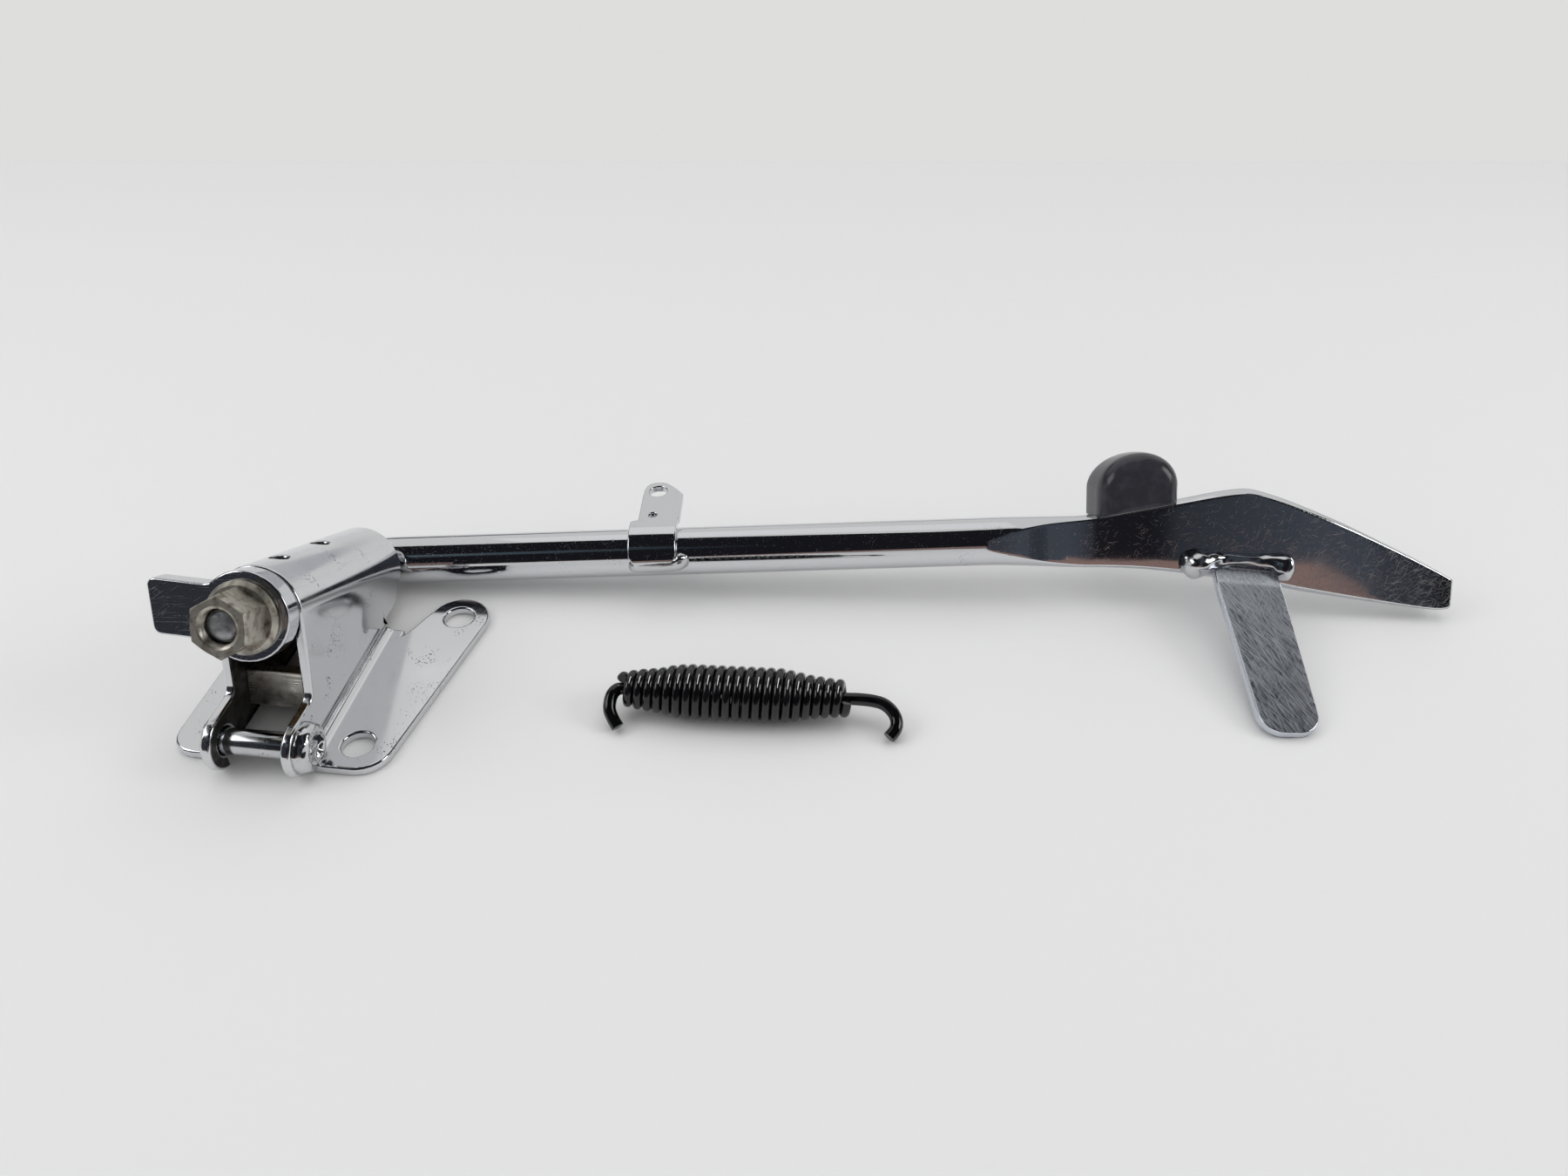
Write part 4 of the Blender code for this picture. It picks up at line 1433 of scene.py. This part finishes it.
@dataclass
class Studio:
    """The table, its light and the camera. Sizes in metres."""

    table_size: float = 6.0
    table: str = "#E8E8E8"
    table_rough: float = 0.6
    table_specular: float = 0.2
    seam: Pair = (0.471, 0.473)
    wall: str = "#DEDEDC"
    fill: float = 0.52
    middle: Spot = (0.12, 0.0, 0.03)
    camera_at: Spot = (0.116, -0.2672, 0.2549)
    camera_tilt: float = 51.0
    lens: float = 27.0
    sensor: float = 36.0
    near: float = 0.01
    cards: tuple[Card, ...] = (
        Card("dark_card", 6.0, (
            (-3.0, 2.0, 108.0, "#1B1B1F"), (-0.95, 2.0, 108.0, "#34363B"),
            (-0.65, 2.0, 108.0, "#34363B"), (-0.5, 2.0, 108.0, "#1B1B1F"),
            (-0.21, 6.0, 104.0, "#1B1B1F"), (0.04, 14.0, 92.0, "#1B1B1F"),
            (0.1, 16.0, 96.0, "#1B1B1F"), (0.25, 16.4, 106.0, "#1D1D22"),
            (0.27, 16.35, 108.0, "#33363C"), (0.41, 16.35, 117.0, "#464B54"),
            (0.45, 15.0, 118.0, "#464B54"), (0.46, 1.0, 118.0, "#3C4048"),
            (0.6, 1.0, 120.0, "#18181B"), (3.0, 1.0, 120.0, "#1B1B1F"),
        )),
        Card("brown_card", 6.0, (
            (-0.5, 0.8, 2.0, "#7F6B66"), (-0.21, 0.8, 6.0, "#7F6B66"),
            (0.04, 0.8, 14.0, "#7F6B66"), (0.1, 0.8, 16.0, "#7F6B66"),
            (0.25, 0.8, 16.4, "#8E756E"), (0.41, 0.8, 16.35, "#8E756E"),
            (0.45, 0.8, 15.0, "#7A6864"), (0.46, 0.8, 1.0, "#5A5050"),
        )),
        Card("cool_strip", 5.8, (
            (-0.6, 46.0, 58.0, "#5A666C"), (-0.3, 46.0, 58.0, "#39434A"),
            (-0.1, 48.0, 54.0, "#16181B"),
        )),
        Card("ceiling_strip", 5.8, (
            (-0.34, 110.0, 138.0, "#FFFFFF"), (0.14, 104.0, 138.0, "#FFFFFF"),
        ), 0.86),
        Card("horizon_strip", 5.9, (
            (-4.0, 164.0, 178.5, "#2E2E33"), (-0.4, 166.0, 178.5, "#3A3A40"),
            (-0.25, 168.0, 178.5, "#8A8A90"), (-0.1, 170.0, 178.5, "#B8B8BC"),
            (0.5, 170.0, 178.5, "#B8B8BC"), (1.2, 170.0, 178.5, "#85858C"),
            (4.0, 164.0, 178.5, "#2E2E33"),
        )),
        Card("left_flag", 6.0, (
            (-4.0, 106.0, 168.0, "#18181B"), (-1.1, 106.0, 166.0, "#18181B"),
        )),
        Card("right_flag", 6.0, (
            (1.0, 120.0, 149.0, "#18181B"), (4.0, 120.0, 149.0, "#18181B"),
        )),
    )  # fmt: skip
    lamps: tuple[Lamp, ...] = (
        Lamp("soft_box_over", (0.12, 0.4, 1.4), (1.8, 1.4), 6.8, False),
        Lamp("soft_box_right", (1.12, -0.15, 0.58), (0.45, 0.5), 2.8, True),
        Lamp("soft_box_left", (-0.8, -0.1, 0.73), (0.7, 0.5), 2.8, True),
    )
    glint: Lamp = Lamp("strip_light", (0.1, 0.13, 0.95), (0.22, 0.8), 10.0, True)

    def build_world(self) -> None:
        """A pale room for the eye and for metal, at a plain level for the light it sheds."""
        world = bpy.data.worlds.new("room")
        bpy.context.scene.world = world
        world.use_nodes = True
        tree = world.node_tree
        tree.nodes.clear()
        seen = add_node(tree, "LightPath", out="Is Camera Ray")
        for kind in ("Is Glossy Ray", "Is Transmission Ray"):
            more = add_node(tree, "LightPath", out=kind)
            seen = add_node(tree, "Math", {0: seen, 1: more}, operation="MAXIMUM")
        white = {"Color": linear("#FFFFFF"), "Strength": self.fill}
        shed = add_node(tree, "Background", white)
        wall = add_node(tree, "Background", {"Color": linear(self.wall)})
        room = add_node(tree, "MixShader", {0: seen, 1: shed, 2: wall})
        add_node(tree, "OutputWorld", {"Surface": room})

    def build_table(self) -> None:
        """A pale table top, with the wall's tone past the seam."""
        bpy.ops.object.select_all(action="DESELECT")
        bpy.ops.mesh.primitive_plane_add(size=self.table_size)
        table = bpy.context.active_object
        table.name = "table_top"
        look = bpy.data.materials.new("table_white")
        look.use_nodes = True
        tree = look.node_tree
        tree.nodes.clear()
        paint = {"Base Color": linear(self.table), "Roughness": self.table_rough}
        paint["Specular IOR Level"] = self.table_specular
        top = add_node(tree, "BsdfPrincipled", paint)
        place = add_node(tree, "TexCoord", out="Object")
        depth = add_node(tree, "SeparateXYZ", {0: place}, "Y")
        limits = {"Value": depth, "From Min": self.seam[0], "From Max": self.seam[1]}
        past = add_node(tree, "MapRange", limits)
        glow = add_node(tree, "Emission", {"Color": linear(self.wall)})
        both = add_node(tree, "MixShader", {0: past, 1: top, 2: glow})
        add_node(tree, "OutputMaterial", {"Surface": both})
        table.data.materials.append(look)

    def build_camera(self) -> None:
        """The camera at the photograph's angle."""
        data = bpy.data.cameras.new("photo_camera")
        data.lens = self.lens
        data.sensor_width = self.sensor
        data.clip_start = self.near
        camera = bpy.data.objects.new("photo_camera", data)
        bpy.context.scene.collection.objects.link(camera)
        camera.location = self.camera_at
        camera.rotation_euler = (radians(self.camera_tilt), 0.0, 0.0)
        bpy.context.scene.camera = camera

    def build(self) -> None:
        """Build the whole setting."""
        bpy.context.scene.view_settings.view_transform = "Standard"
        self.build_world()
        self.build_table()
        for thing in (*self.cards, *self.lamps):
            thing.build(Vector(self.middle))
        self.build_camera()

    def light_gloss(self, piece: Piece) -> None:
        """Light one piece and no other with the strip light, for small lights on black gloss.

        Args:
            piece: The only piece that it lights.
        """
        lit = bpy.data.collections.new(f"{self.glint.name}_lit")
        lit.objects.link(piece)
        lamp = self.glint.build(piece.matrix_world @ Vector(piece.bound_box[0]))
        lamp.light_linking.receiver_collection = lit


def main() -> None:
    """Load the frame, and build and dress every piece."""
    logging.basicConfig(level=logging.INFO, format="%(message)s")
    for obj in list(bpy.data.objects):
        bpy.data.objects.remove(obj, do_unlink=True)
    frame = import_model()
    frames = Frames.at_rest()
    studio = Studio()
    studio.build()
    Bracket(frames, frame).build()
    Leg(frames).build()
    PivotStack(frames, frame).build()
    Bumper(frames, frame).build()
    SpringTab(frames, frame).build()
    KickTab(frames).build()
    studio.light_gloss(ReturnSpring().build())


if __name__ == "__main__":
    main()
